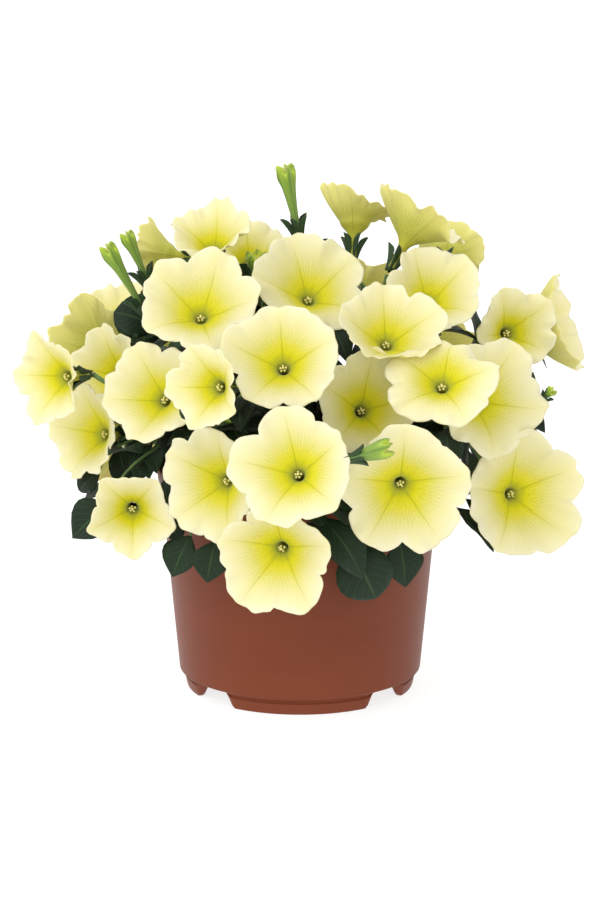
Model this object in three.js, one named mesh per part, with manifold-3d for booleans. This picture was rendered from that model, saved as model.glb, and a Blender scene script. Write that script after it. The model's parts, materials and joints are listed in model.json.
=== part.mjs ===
// A trailing petunia with pale yellow flowers, in its plastic growing pot.
// Millimetres, +Z up. The origin is on the pot's axis, in the plane its feet stand on.
// The side that the flowers face most is -Y, and +X is to the right of it.

import * as THREE from "three";
import { mergeVertices } from "three/addons/utils/BufferGeometryUtils.js";
import Module from "manifold-3d";

const wasm = await Module();
wasm.setup();

// Driving dimensions of the pot
const POT_HEIGHT = 112;
const FOOT_HEIGHT = 9;
const FOOT_RADIUS = 56;
const WALL_FOOT_RADIUS = 59.8;
const WALL_SLOPE = 0.0918;
const WALL = 1.3;
const RIM_BAND = 8;
const RIM_PROUD = 1.2;
const POT_SIDES = 36;
const NOTCH_OFFSET = 41;
const NOTCH_TOP_WIDTH = 9;
const NOTCH_FOOT_WIDTH = 18.5;
const DRAIN_RADIUS = 4;
const DRAIN_CIRCLE = 34;
const DRAIN_COUNT = 6;

// Driving dimensions of the soil and of the plant
const SEAT_GAP = 0.35;
const SOIL_EDGE_Z = 100.5;
const SOIL_CROWN_Z = 104;
const STEM_FOOT_Z = 104.6;
const STEM_RADIUS = 1.7;
const STEM_UPRIGHT_SHARE = 0.55;
const STEM_STEPS = 5;
const PEDICEL_RADIUS = 1.0;
const STALK_STEPS = 3;
const STALK_SIDES = 5;
const CALYX_DEPTH = 4;
const RIM_ROOM = 20;
const RIM_RISE = 0.6;
const FULL_DIAMETER = 56;
const SHORTEST_FLOWER = 20;
const LENGTH_PER_DIAMETER = 0.25;
const PETAL_THICKNESS = 0.8;
const LOBE_DEPTH = 0.16;
const BUD_TWIST = 25;

// Driving dimensions of the leaves
const PETIOLE_RADIUS = 0.7;
const LONG_PETIOLE = 20;
const LEAF_ARCH = 0.1;
const LEAF_FOLD = 0.18;
const MIDRIB_DEPTH = 0.6;
const STEM_LEAF_SHARES = [0.4, 0.6, 0.8, 0.95];
const STEM_LEAF_LENGTH = 33;
const STALK_LEAF_LENGTH = 28;
const STALK_LEAF_SPACING = 14;
const STALK_LEAF_SHRINK = 2;
const LEAF_WIDTH_SHARE = 0.6;
const SHORT_PETIOLE = 5;
const LEAN_ALONG = 0.35;
const LEAN_OUT = 0.45;
const GOLDEN_TURN = 137.5;
const LEAF_TRIES = 6;
const LEAF_ROOM = 0.8;

// Heights above the foot and radii of a full-size corolla, outside and then inside
const TUBE_FOOT = [0, 1.8];
const TUBE_NECK = [12, 4.5];
const THROAT = [25, 12];
const LIMB = [31, 21];
const MARGIN = [34, 28];
const HOLLOW_END = [13, 3.6];

// Rings of the cup that the petals sit in: radius, and height from the foot of the petals
const CALYX_RINGS = [[PEDICEL_RADIUS, -CALYX_DEPTH], [3.3, -0.8], [4.7, 5], [2.75, -SEAT_GAP]];

// Outline of a leaf: share of its length, and half its width there as a share of its width
const LEAF_OUTLINE = [[0, 0.03], [0.28, 0.45], [0.66, 0.43], [1, 0.01]];

// Each flower: middle of its mouth (x, y, z), the way it faces (azimuth from -Y towards +X,
// then elevation), its diameter and how far its lobes are turned, in degrees.
const FLOWERS = {
  F1: [-48, -52, 205, -5, 48, 56, 18],
  F2: [7, -24, 209, 15, 50, 56, -12],
  F3: [-9, -95, 186, -5, 35, 55, -5],
  F4: [43, -62, 194, 12, 49, 51, 0],
  F5: [65, -91, 179, -4, 45, 54, 10],
  F6: [65, -18, 204, 15, 45, 48, -15],
  F7: [33, -73, 158, 15, 25, 52, 10],
  F8: [-4, -128, 142, -12, 30, 56, -15],
  F9: [-45, -88, 121, -36, 2, 56, 10],
  F10: [-13, -118, 94, -15, -4, 55, 0],
  F11: [48, -115, 123, 5, -6, 62, 0],
  F12: [110, -40, 105, 25, 10, 60, -5],
  F13: [93, -46, 154, 30, 15, 56, 35],
  F14: [-80, -65, 101, 0, 0, 40, -38],
  F15: [-107, -27, 134, -48, 15, 48, -20],
  F16: [-72, -62, 161, -30, 25, 50, -32],
  F17: [-46, -104, 172, -35, 10, 40, -25],
  F18: [-98, -1, 159, -38, 20, 46, -20],
  F19: [-122, -44, 163, -40, 5, 42, -20],
  F20: [-111, 50, 161, -128, 10, 54, 0],
  F21: [-96, 90, 174, -40, 70, 38, 0],
  F22: [-44, 0, 230, -15, 62, 40, 0],
  F23: [-76, 34, 209, -105, 0, 36, 0],
  F24: [28, 44, 235, 170, 64, 36, 0],
  F25: [60, 15, 235, 125, 55, 52, 0],
  F26: [77, 62, 206, 165, 0, 34, 0],
  F27: [107, -5, 178, 22, 12, 42, -20],
  F28: [129, 30, 175, 80, 15, 50, 10],
  F29: [-24, 45, 215, 10, 60, 38, 0],
  F30: [-5, 132, 140, 180, 15, 56, 10],
  F31: [-62, 125, 146, -145, 18, 56, 30],
  F32: [74, 112, 148, 142, 18, 56, -20],
  F33: [-24, 104, 180, -165, 35, 54, 0],
  F34: [32, 106, 180, 165, 38, 54, 20],
  F35: [-106, 58, 112, -118, 0, 54, 0],
  F36: [104, 60, 114, 118, 5, 54, 15],
  F37: [-57, 122, 92, -155, -5, 52, 0],
  F38: [58, 122, 92, 155, -5, 52, 0],
  F39: [0, 126, 86, 180, -5, 54, 0],
};

// Each bud: foot of its petals (x, y, z), the way it points, length and widest diameter.
const BUDS = {
  B1: [-2, 15, 229, -90, 78, 30, 9],
  B2: [-75, 2, 186, -90, 60, 33, 8],
  B3: [-73, 8, 198, -90, 66, 22, 7],
  B4: [-21, 8, 201, 0, 75, 14, 11],
  B5: [22, -124, 143, 80, 18, 24, 9],
  B6: [116, -24, 148, 60, 45, 12, 5],
  B7: [-40, -75, 147, 70, 30, 11, 5],
};

// Each shoot: where it leaves the soil (x, y), its tip (x, y, z), the flowers and buds that
// it carries with the share of its length where each one leaves it, and its leaves that hang
// free of the rest: share, base, tip, width and the way the upper face looks.
const SHOOTS = {
  front: {
    foot: [-2, -20],
    tip: [-3, -60, 150],
    carries: { F10: 0.6, F8: 0.8, F3: 1.0 },
    leaves: [],
  },
  front_left: {
    foot: [-12, -16],
    tip: [-36, -46, 142],
    carries: { F9: 0.6, F16: 0.85, F17: 1.0, B7: 0.9 },
    leaves: [
      [0.5, [-52, -58, 90], [-61, -60, 70], 18, -20, 10],
      [0.55, [-40, -68, 90], [-44, -70, 70], 18, -10, 10],
    ],
  },
  left: {
    foot: [-20, -6],
    tip: [-62, -8, 142],
    carries: { F14: 0.55, F15: 0.7, F18: 0.9, F19: [1.0, [-84, -26, 150]] },
    leaves: [
      [0.5, [-90, -48, 103], [-109, -48, 86], 22, -20, 25],
      [0.6, [-97, -22, 113], [-107, -22, 103], 16, -40, 30],
    ],
  },
  top_left: {
    foot: [-10, 3],
    tip: [-42, 8, 180],
    carries: { F1: 0.75, F22: 1.0, F23: 0.95, B2: 0.85, B3: 0.9 },
    leaves: [[0.8, [-70, 14, 176], [-91, 14, 185], 24, -20, 40]],
  },
  back_left: {
    foot: [-17, 12],
    tip: [-60, 44, 142],
    carries: { F35: 0.65, F20: 0.9, F21: 1.0, F31: 0.95, F37: 0.6 },
    leaves: [],
  },
  top: {
    foot: [0, 0],
    tip: [-4, 22, 190],
    carries: { F2: 0.75, F29: 0.95, B1: 1.0, B4: 0.85 },
    leaves: [[0.9, [19, 38, 208], [7, 36, 216], 9, 0, 50]],
  },
  top_right: {
    foot: [10, 5],
    tip: [44, 14, 180],
    carries: { F6: 0.75, F25: 0.9, F24: 0.95, F26: 1.0 },
    leaves: [],
  },
  front_right: {
    foot: [10, -16],
    tip: [35, -46, 140],
    carries: { F11: 0.65, F7: 0.85, F4: 1.0, B5: [0.8, [16, -96, 136]] },
    leaves: [
      [0.5, [10, -86, 106], [30, -88, 77], 20, 15, 25],
      [0.55, [23, -76, 92], [36, -78, 64], 28, 0, 15],
      [0.6, [47, -68, 92], [50, -68, 67], 19, 10, 10],
    ],
  },
  right: {
    foot: [21, -4],
    tip: [70, 0, 142],
    carries: { F12: 0.6, F13: 0.75, F5: 0.8, F27: 0.95, F28: 1.0, B6: 0.85 },
    leaves: [
      [0.5, [74, -38, 99], [94, -42, 78], 9, 20, 40],
      [0.55, [80, -30, 101], [92, -30, 82], 11, 40, 20],
      [0.8, [106, -14, 146], [119, -14, 130], 10, 20, 10],
    ],
  },
  back_right: {
    foot: [16, 13],
    tip: [52, 46, 138],
    carries: { F36: 0.7, F38: 0.6, F32: 0.9, F34: 1.0 },
    leaves: [],
  },
  back: {
    foot: [0, 21],
    tip: [-2, 58, 140],
    carries: { F39: 0.6, F30: 0.85, F33: 1.0 },
    leaves: [],
  },
};

const plastic = new THREE.MeshStandardMaterial({ color: "#8f4a35", roughness: 0.5, metalness: 0 });
const earth = new THREE.MeshStandardMaterial({ color: "#3a2a1f", roughness: 0.95, metalness: 0 });
const petal = new THREE.MeshStandardMaterial({ color: "#f2efae", roughness: 0.7, metalness: 0 });
const budSkin = new THREE.MeshStandardMaterial({ color: "#c3cf45", roughness: 0.7, metalness: 0 });
const green = new THREE.MeshStandardMaterial({ color: "#33512d", roughness: 0.75, metalness: 0 });

const UP = new THREE.Vector3(0, 0, 1);
const part = new THREE.Group();

function radians(degrees) {
  return THREE.MathUtils.degToRad(degrees);
}

function facing(azimuth, elevation) {
  const level = Math.cos(radians(elevation));
  return new THREE.Vector3(
    Math.sin(radians(azimuth)) * level,
    -Math.cos(radians(azimuth)) * level,
    Math.sin(radians(elevation)),
  );
}

// The part of a vector that is square to an axis, one unit long
function squareTo(vector, axis) {
  return vector.clone().addScaledVector(axis, -vector.dot(axis)).normalize();
}

// A closed mesh as a solid: its shared corners are joined and its empty triangles left out
function solidOf(geometry) {
  const bare = new THREE.BufferGeometry();
  bare.setAttribute("position", geometry.getAttribute("position"));
  bare.setIndex(geometry.index);
  const merged = mergeVertices(bare, 1e-3);
  const corners = merged.index.array;
  const kept = [];
  for (let i = 0; i < corners.length; i += 3) {
    const [a, b, c] = [corners[i], corners[i + 1], corners[i + 2]];
    if (a !== b && b !== c && c !== a) {
      kept.push(a, b, c);
    }
  }
  const make = (order) => new wasm.Manifold(new wasm.Mesh({
    numProp: 3,
    vertProperties: new Float32Array(merged.getAttribute("position").array),
    triVerts: new Uint32Array(order),
  }));
  const solid = make(kept);
  return solid.volume() > 0 ? solid : make(kept.reverse());
}

function geometryOf(solid) {
  const mesh = solid.getMesh();
  const geometry = new THREE.BufferGeometry();
  geometry.setAttribute("position", new THREE.BufferAttribute(mesh.vertProperties, 3));
  geometry.setIndex(new THREE.BufferAttribute(mesh.triVerts, 1));
  return geometry;
}

function addPiece(name, geometry, material) {
  const mesh = new THREE.Mesh(geometry, material);
  mesh.name = name;
  part.add(mesh);
  return mesh;
}

// A closed skin over a row of rings. Each ring has as many points as the one before it,
// or twice or half as many, and a flat or pointed cap closes each end.
function loftedSolid(rings) {
  const points = rings.flat();
  const starts = [0];
  rings.forEach((ring) => starts.push(starts.at(-1) + ring.length));
  const triangles = [];
  const band = (near, nearCount, far, farCount, turned) => {
    const push = (a, b, c) => triangles.push(...(turned ? [a, c, b] : [a, b, c]));
    const doubled = farCount === 2 * nearCount;
    for (let i = 0; i < nearCount; i += 1) {
      const [a, b] = [near + i, near + ((i + 1) % nearCount)];
      if (doubled) {
        const [c, d, e] = [far + 2 * i, far + 2 * i + 1, far + ((2 * i + 2) % farCount)];
        push(a, d, c);
        push(a, b, d);
        push(b, e, d);
      } else {
        const [c, d] = [far + i, far + ((i + 1) % farCount)];
        push(a, b, d);
        push(a, d, c);
      }
    }
  };
  for (let k = 0; k + 1 < rings.length; k += 1) {
    const [here, next] = [rings[k].length, rings[k + 1].length];
    if (next >= here) {
      band(starts[k], here, starts[k + 1], next, false);
    } else {
      band(starts[k + 1], next, starts[k], here, true);
    }
  }
  const last = rings.length - 1;
  for (let i = 1; i + 1 < rings[0].length; i += 1) {
    triangles.push(0, i + 1, i);
  }
  for (let i = 1; i + 1 < rings[last].length; i += 1) {
    triangles.push(starts[last], starts[last] + i, starts[last] + i + 1);
  }
  const skin = new THREE.BufferGeometry();
  const places = points.flatMap((p) => p.toArray());
  skin.setAttribute("position", new THREE.Float32BufferAttribute(places, 3));
  skin.setIndex(triangles);
  return solidOf(skin);
}

// A ring around the Z axis; the lobe rule says how far out each direction reaches
function ringAt(height, radius, count, reach = () => 1, turn = 0) {
  return Array.from({ length: count }, (_, i) => {
    const angle = (2 * Math.PI * i) / count;
    const r = radius * reach(angle);
    return new THREE.Vector3(r * Math.sin(angle + turn), r * Math.cos(angle + turn), height);
  });
}

function flowerLength(diameter) {
  return SHORTEST_FLOWER + LENGTH_PER_DIAMETER * diameter;
}

// Five broad lobes with a shallow notch between each two
function lobeReach(angle) {
  return 1 - LOBE_DEPTH * (1 - Math.sqrt(Math.abs(Math.cos(2.5 * angle))));
}

// The corolla: a narrow tube that opens into a funnel and a flat five-lobed limb. Its mouth
// is at the origin and looks along +Z, and its foot is at z = -length.
function corollaGeometry(diameter, lobeTurn) {
  const stretch = flowerLength(diameter) / flowerLength(FULL_DIAMETER);
  const size = diameter / FULL_DIAMETER;
  const turn = radians(lobeTurn);
  const z = (height) => (height - flowerLength(FULL_DIAMETER)) * stretch;
  const outside = ([height, radius], count, reach) => (
    ringAt(z(height), radius * size, count, reach, turn)
  );
  const inside = ([height, radius], skin, count, reach) => (
    ringAt(z(height) + PETAL_THICKNESS, radius * size - skin, count, reach, turn)
  );
  return geometryOf(loftedSolid([
    ringAt(z(TUBE_FOOT[0]), TUBE_FOOT[1], 5, undefined, turn),
    ringAt(z(TUBE_NECK[0]), TUBE_NECK[1], 10, undefined, turn),
    outside(THROAT, 10),
    outside(LIMB, 10),
    outside(MARGIN, 20, lobeReach),
    inside(MARGIN, 0.2, 20, lobeReach),
    inside(LIMB, 0.6, 10),
    inside(THROAT, 1, 10),
    ringAt(z(HOLLOW_END[0]), HOLLOW_END[1], 10, undefined, turn),
  ]));
}

// The bud: petals still rolled together, widest near the tip. Its foot is at the origin.
function budGeometry(length, diameter) {
  const r = diameter / 2;
  const twist = radians(BUD_TWIST);
  return geometryOf(loftedSolid([
    ringAt(0, 1.5, 6),
    ringAt(0.3 * length, 0.5 * r + 0.6, 6),
    ringAt(0.62 * length, 0.8 * r, 6, undefined, twist),
    ringAt(0.88 * length, r, 6, undefined, 2 * twist),
    ringAt(length, 0.5 * r, 6, undefined, 3 * twist),
  ]));
}

// Turns a piece so that its +Z looks along the given way, with +Y as near to up as it can be
function standAlong(object, place, direction) {
  const upward = squareTo(UP, direction);
  const sideways = upward.clone().cross(direction);
  object.quaternion.setFromRotationMatrix(new THREE.Matrix4().makeBasis(sideways, upward, direction));
  object.position.copy(place);
  object.updateMatrixWorld(true);
}

function tubeAlong(curve, radius, sides, steps) {
  const section = new THREE.Shape(
    Array.from({ length: sides }, (_, i) => new THREE.Vector2(
      radius * Math.cos((2 * Math.PI * i) / sides),
      radius * Math.sin((2 * Math.PI * i) / sides),
    )),
  );
  return solidOf(new THREE.ExtrudeGeometry(section, { steps, extrudePath: curve, bevelEnabled: false }));
}

// A closed ring of points in the plane of two directions that are square to each other
function ringAcross(centre, across, upper, radius, count) {
  return Array.from({ length: count }, (_, i) => {
    const angle = (2 * Math.PI * i) / count;
    return centre.clone()
      .addScaledVector(across, radius * Math.sin(angle))
      .addScaledVector(upper, radius * Math.cos(angle));
  });
}

// Rings along a curve from its start to just before its end. Each one keeps as much of the
// given sideways direction as it can, so the skin over them doesn't twist.
function ringsAlong(curve, steps, across, radius, count) {
  return Array.from({ length: steps }, (_, i) => {
    const tangent = curve.getTangent(i / steps);
    const side = squareTo(across, tangent);
    return ringAcross(curve.getPoint(i / steps), side, side.clone().cross(tangent), radius, count);
  });
}

// The stalk of a flower or bud. It swells into the green cup that the petals sit in.
function stalkSolid(curve, foot, direction) {
  const upper = squareTo(UP, direction);
  const across = direction.clone().cross(upper);
  const stalk = ringsAlong(curve, STALK_STEPS, across, PEDICEL_RADIUS, STALK_SIDES);
  const cup = CALYX_RINGS.map(([radius, height]) => (
    ringAcross(foot.clone().addScaledVector(direction, height), across, upper, radius, STALK_SIDES)
  ));
  return loftedSolid([...stalk, ...cup]);
}

// The blade of a leaf as rings of three points (midrib, left edge, right edge): folded a
// little along its midrib, arched along its length, and thick only at the midrib
function bladeRings({ base, tip, width, normal }) {
  const length = tip.distanceTo(base);
  const along = tip.clone().sub(base).normalize();
  const upper = squareTo(normal, along);
  const across = along.clone().cross(upper);
  return LEAF_OUTLINE.map(([share, half]) => {
    const middle = base.clone().addScaledVector(along, share * length);
    middle.addScaledVector(upper, LEAF_ARCH * length * Math.sin(Math.PI * share));
    const edge = middle.clone().addScaledVector(upper, LEAF_FOLD * half * width);
    return [
      middle.addScaledVector(upper, -Math.min(MIDRIB_DEPTH, 12 * half)),
      edge.clone().addScaledVector(across, -half * width),
      edge.clone().addScaledVector(across, half * width),
    ];
  });
}

// A leaf with its petiole, which starts inside the stalk or stem that bears it
function leafSolid(start, leaf) {
  const along = leaf.tip.clone().sub(leaf.base).normalize();
  const across = along.clone().cross(squareTo(leaf.normal, along)).negate();
  const reach = start.distanceTo(leaf.base);
  const isLong = reach > LONG_PETIOLE;
  const rise = isLong ? riseOverRim(leaf.base) : 0;
  const arriving = rise > 0 ? 2 : 0.3 * reach;
  const petiole = new THREE.CubicBezierCurve3(
    start,
    start.clone().lerp(leaf.base, 0.5).addScaledVector(UP, 0.1 * reach + rise),
    leaf.base.clone().addScaledVector(along, -arriving).addScaledVector(UP, rise),
    leaf.base,
  );
  const rings = ringsAlong(petiole, isLong ? 4 : 1, across, PETIOLE_RADIUS, 3);
  return loftedSolid([...rings, ...bladeRings(leaf)]);
}

function wallRadius(height) {
  return WALL_FOOT_RADIUS + WALL_SLOPE * (height - FOOT_HEIGHT);
}

// A solid turned about the Z axis from its profile of radii and heights
function turnedSolid(profile) {
  const points = profile.map(([radius, height]) => new THREE.Vector2(radius, height));
  const lathe = new THREE.LatheGeometry(points, POT_SIDES);
  lathe.rotateX(Math.PI / 2);
  return solidOf(lathe);
}

// The pot: a tapered wall with a rim band, a raised floor and a skirt that it stands on
function potGeometry() {
  const floorTop = FOOT_HEIGHT + WALL;
  const bandFoot = POT_HEIGHT - RIM_BAND;
  const profile = [
    [0, FOOT_HEIGHT],
    [WALL_FOOT_RADIUS - 2.6, FOOT_HEIGHT],
    [FOOT_RADIUS - 3, 0],
    [FOOT_RADIUS - 1, 0],
    [FOOT_RADIUS, 1],
    [WALL_FOOT_RADIUS - 0.6, FOOT_HEIGHT],
    [WALL_FOOT_RADIUS, FOOT_HEIGHT + 0.6],
    [wallRadius(bandFoot), bandFoot],
    [wallRadius(bandFoot) + RIM_PROUD, bandFoot + 0.8],
    [wallRadius(POT_HEIGHT) + RIM_PROUD, POT_HEIGHT - 0.6],
    [wallRadius(POT_HEIGHT) + RIM_PROUD - 0.6, POT_HEIGHT],
    [wallRadius(POT_HEIGHT) - WALL + 0.4, POT_HEIGHT],
    [wallRadius(POT_HEIGHT) - WALL, POT_HEIGHT - 0.6],
    [wallRadius(floorTop) - WALL, floorTop],
    [0, floorTop],
  ];
  let solid = turnedSolid(profile);
  for (const side of [-1, 1]) {
    const outline = new THREE.Shape([
      new THREE.Vector2(-NOTCH_FOOT_WIDTH / 2, -1),
      new THREE.Vector2(NOTCH_FOOT_WIDTH / 2, -1),
      new THREE.Vector2(NOTCH_TOP_WIDTH / 2, FOOT_HEIGHT - 0.01),
      new THREE.Vector2(-NOTCH_TOP_WIDTH / 2, FOOT_HEIGHT - 0.01),
    ]);
    const channel = new THREE.ExtrudeGeometry(outline, { depth: 4 * FOOT_RADIUS, bevelEnabled: false });
    channel.rotateX(Math.PI / 2);
    channel.translate(side * NOTCH_OFFSET, 2 * FOOT_RADIUS, 0);
    solid = solid.subtract(solidOf(channel));
  }
  for (let i = 0; i < DRAIN_COUNT; i += 1) {
    const drill = new THREE.CylinderGeometry(DRAIN_RADIUS, DRAIN_RADIUS, 6, 12);
    const angle = (2 * Math.PI * (i + 0.5)) / DRAIN_COUNT;
    drill.rotateX(Math.PI / 2);
    drill.translate(DRAIN_CIRCLE * Math.sin(angle), DRAIN_CIRCLE * Math.cos(angle), FOOT_HEIGHT);
    solid = solid.subtract(solidOf(drill));
  }
  return geometryOf(solid);
}

function soilGeometry() {
  const inner = (height) => wallRadius(height) - WALL - SEAT_GAP;
  const floor = FOOT_HEIGHT + WALL + SEAT_GAP;
  const profile = [
    [0, floor],
    [inner(floor) - 0.6, floor],
    [inner(SOIL_EDGE_Z) - 0.3, SOIL_EDGE_Z],
    [0.55 * inner(SOIL_EDGE_Z), SOIL_CROWN_Z - 0.6],
    [0, SOIL_CROWN_Z],
  ];
  return geometryOf(turnedSolid(profile));
}

const others = [];

function standing(mesh) {
  others.push(solidOf(mesh.geometry.clone().applyMatrix4(mesh.matrixWorld)));
}

standing(addPiece("pot", potGeometry(), plastic));
standing(addPiece("potting_soil", soilGeometry(), earth));

// Where the foot of each flower or bud is and which way it looks, by its key
const feet = {};

Object.entries(FLOWERS).forEach(([key, [x, y, z, azimuth, elevation, diameter, lobeTurn]]) => {
  const direction = facing(azimuth, elevation);
  const mouth = new THREE.Vector3(x, y, z);
  const name = `flower_${key.slice(1).padStart(2, "0")}`;
  const mesh = addPiece(name, corollaGeometry(diameter, lobeTurn), petal);
  standAlong(mesh, mouth, direction);
  standing(mesh);
  feet[key] = { foot: mouth.addScaledVector(direction, -flowerLength(diameter)), direction };
});

Object.entries(BUDS).forEach(([key, [x, y, z, azimuth, elevation, length, diameter]]) => {
  const direction = facing(azimuth, elevation);
  const foot = new THREE.Vector3(x, y, z);
  const name = `bud_${key.slice(1).padStart(2, "0")}`;
  const mesh = addPiece(name, budGeometry(length, diameter), budSkin);
  standAlong(mesh, foot, direction);
  standing(mesh);
  feet[key] = { foot, direction };
});

function outwardOf(place) {
  return new THREE.Vector3(place.x, place.y, 0).normalize();
}

function mainStem({ foot: [x, y], tip: [tx, ty, tz] }) {
  const root = new THREE.Vector3(x, y, STEM_FOOT_Z);
  const tip = new THREE.Vector3(tx, ty, tz);
  const above = new THREE.Vector3(x, y, STEM_FOOT_Z + STEM_UPRIGHT_SHARE * (tz - STEM_FOOT_Z));
  return new THREE.QuadraticBezierCurve3(root, above, tip);
}

// How much higher than its end a stalk has to rise to clear the rim of the pot
function riseOverRim(end) {
  return RIM_RISE * Math.max(0, POT_HEIGHT + RIM_ROOM - end.z);
}

// The way of one flower's stalk: it leaves the stem outward and comes in behind the calyx,
// or it bends round the one place given for it
function pedicelCurve(stem, share, via, { foot, direction }) {
  const start = stem.getPoint(share);
  const end = foot.clone().addScaledVector(direction, -CALYX_DEPTH);
  if (via) {
    const corner = new THREE.Vector3(...via);
    return new THREE.CubicBezierCurve3(
      start,
      start.clone().lerp(corner, 2 / 3),
      end.clone().lerp(corner, 2 / 3),
      end,
    );
  }
  const rise = riseOverRim(end);
  const reach = start.distanceTo(end);
  const leaving = stem.getTangent(share).add(outwardOf(end)).normalize();
  const arriving = rise > 0 ? 2 : 0.3 * reach;
  return new THREE.CubicBezierCurve3(
    start,
    start.clone().addScaledVector(leaving, 0.4 * reach).addScaledVector(UP, rise),
    end.clone().addScaledVector(direction, -arriving).addScaledVector(UP, rise),
    end,
  );
}

// The places where a shoot may bear a leaf: along its stem and on each flower's stalk
function leafPlaces(stem, pedicels) {
  const places = [];
  const addPlace = (curve, share, length) => (
    places.push({ start: curve.getPoint(share), axis: curve.getTangent(share), length })
  );
  for (const share of STEM_LEAF_SHARES) {
    addPlace(stem, share, STEM_LEAF_LENGTH);
  }
  for (const curve of pedicels) {
    const most = STALK_STEPS - 1;
    const count = Math.min(most, Math.round(curve.getLength() / STALK_LEAF_SPACING));
    for (let i = 0; i < count; i += 1) {
      addPlace(curve, (i + 1) / STALK_STEPS, STALK_LEAF_LENGTH - STALK_LEAF_SHRINK * i);
    }
  }
  return places;
}

// One way that a leaf may grow from its place: square to the stalk, turned a step further
// with each try, and leaning outward and a little forward along the stalk
function leafPose({ start, axis, length }, turn) {
  const side = squareTo(Math.abs(axis.z) > 0.9 ? outwardOf(start) : UP, axis);
  side.applyAxisAngle(axis, radians(turn));
  const out = outwardOf(start);
  const along = side.addScaledVector(axis, LEAN_ALONG).addScaledVector(out, LEAN_OUT).normalize();
  const base = start.clone().addScaledVector(along, SHORT_PETIOLE);
  const tip = base.clone().addScaledVector(along, length);
  const normal = new THREE.Vector3(0.5 * out.x, 0.5 * out.y, 1);
  return { base, tip, width: LEAF_WIDTH_SHARE * length, normal };
}

function boxesApart(a, b, room) {
  return [0, 1, 2].some((k) => a.min[k] > b.max[k] + room || b.min[k] > a.max[k] + room);
}

function hasRoom(solid, neighbours) {
  const box = solid.boundingBox();
  return neighbours.every((other) => (
    boxesApart(box, other.boundingBox(), LEAF_ROOM) || solid.minGap(other, LEAF_ROOM) >= LEAF_ROOM
  ));
}

const shoots = Object.entries(SHOOTS).map(([name, shoot]) => {
  const stem = mainStem(shoot);
  const curves = Object.entries(shoot.carries).map(([key, way]) => {
    const [share, via] = [way].flat(1);
    return pedicelCurve(stem, share, via, feet[key]);
  });
  let solid = tubeAlong(stem, STEM_RADIUS, 5, STEM_STEPS);
  Object.keys(shoot.carries).forEach((key, i) => {
    solid = solid.add(stalkSolid(curves[i], feet[key].foot, feet[key].direction));
  });
  for (const [share, base, tip, width, azimuth, elevation] of shoot.leaves) {
    solid = solid.add(leafSolid(stem.getPoint(share), {
      base: new THREE.Vector3(...base),
      tip: new THREE.Vector3(...tip),
      width,
      normal: facing(azimuth, elevation),
    }));
  }
  return { name, solid, places: leafPlaces(stem, curves) };
});

// Every place gets its leaf in the first way that leaves room to all the other pieces
shoots.forEach((shoot, index) => {
  const neighbours = [...others, ...shoots.filter((_, i) => i !== index).map((other) => other.solid)];
  shoot.places.forEach((place, k) => {
    for (let attempt = 0; attempt < LEAF_TRIES; attempt += 1) {
      const leaf = leafPose(place, GOLDEN_TURN * k + (360 * attempt) / LEAF_TRIES);
      if (hasRoom(loftedSolid(bladeRings(leaf)), [shoot.solid, ...neighbours])) {
        shoot.solid = shoot.solid.add(leafSolid(place.start, leaf));
        break;
      }
    }
  });
  addPiece(`shoot_${shoot.name}`, geometryOf(shoot.solid), green);
});

export default part;
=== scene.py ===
# %% [markdown]
# # A trailing petunia in its growing pot
#
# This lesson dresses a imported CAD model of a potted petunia. The model fixes every place and
# size: a pot, its soil, eleven leafy shoots, thirty-nine open flowers and seven buds. Blender
# makes the fine surface of each: ruffled petals with veins, folded leaves, crumbly soil and a
# thin moulded pot. All lengths in the tables are millimetres, as a gardener would measure them.

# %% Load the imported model
import json
import math

import bpy
import numpy as np
from mathutils.bvhtree import BVHTree
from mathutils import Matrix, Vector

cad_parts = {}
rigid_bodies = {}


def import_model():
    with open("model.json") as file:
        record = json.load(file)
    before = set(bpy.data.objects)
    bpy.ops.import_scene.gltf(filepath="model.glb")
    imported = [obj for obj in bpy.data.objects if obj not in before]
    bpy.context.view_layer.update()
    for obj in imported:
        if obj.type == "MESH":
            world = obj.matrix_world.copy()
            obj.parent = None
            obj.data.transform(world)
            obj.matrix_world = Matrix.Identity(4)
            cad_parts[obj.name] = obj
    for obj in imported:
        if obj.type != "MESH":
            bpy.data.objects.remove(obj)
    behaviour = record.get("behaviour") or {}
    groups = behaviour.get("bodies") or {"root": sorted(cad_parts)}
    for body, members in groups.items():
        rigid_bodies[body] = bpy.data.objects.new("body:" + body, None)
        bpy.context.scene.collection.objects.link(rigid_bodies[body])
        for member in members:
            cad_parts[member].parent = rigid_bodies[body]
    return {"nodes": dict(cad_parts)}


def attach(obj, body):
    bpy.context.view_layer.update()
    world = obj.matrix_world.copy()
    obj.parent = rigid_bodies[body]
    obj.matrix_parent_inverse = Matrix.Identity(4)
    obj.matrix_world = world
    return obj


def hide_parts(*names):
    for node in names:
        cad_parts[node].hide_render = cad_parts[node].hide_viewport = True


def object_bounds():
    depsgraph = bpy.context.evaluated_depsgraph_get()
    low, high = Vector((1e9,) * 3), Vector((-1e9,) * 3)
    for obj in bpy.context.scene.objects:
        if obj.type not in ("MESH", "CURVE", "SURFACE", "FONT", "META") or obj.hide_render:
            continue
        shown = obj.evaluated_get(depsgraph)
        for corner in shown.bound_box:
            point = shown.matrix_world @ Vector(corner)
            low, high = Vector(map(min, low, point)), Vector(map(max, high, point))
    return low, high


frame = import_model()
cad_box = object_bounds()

MM = 0.001
print("nodes:", len(frame["nodes"]), "box:", [[round(v, 3) for v in corner] for corner in cad_box])

# %% [markdown]
# ## The view
#
# The photograph was taken with a long lens from a little above the plant. A long lens far away
# flattens the bush, so near and far flowers look nearly the same size. A short lens close by
# could frame the same pot, but it would swell the front flowers. The camera comes first because
# everything else is judged through it.

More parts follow.
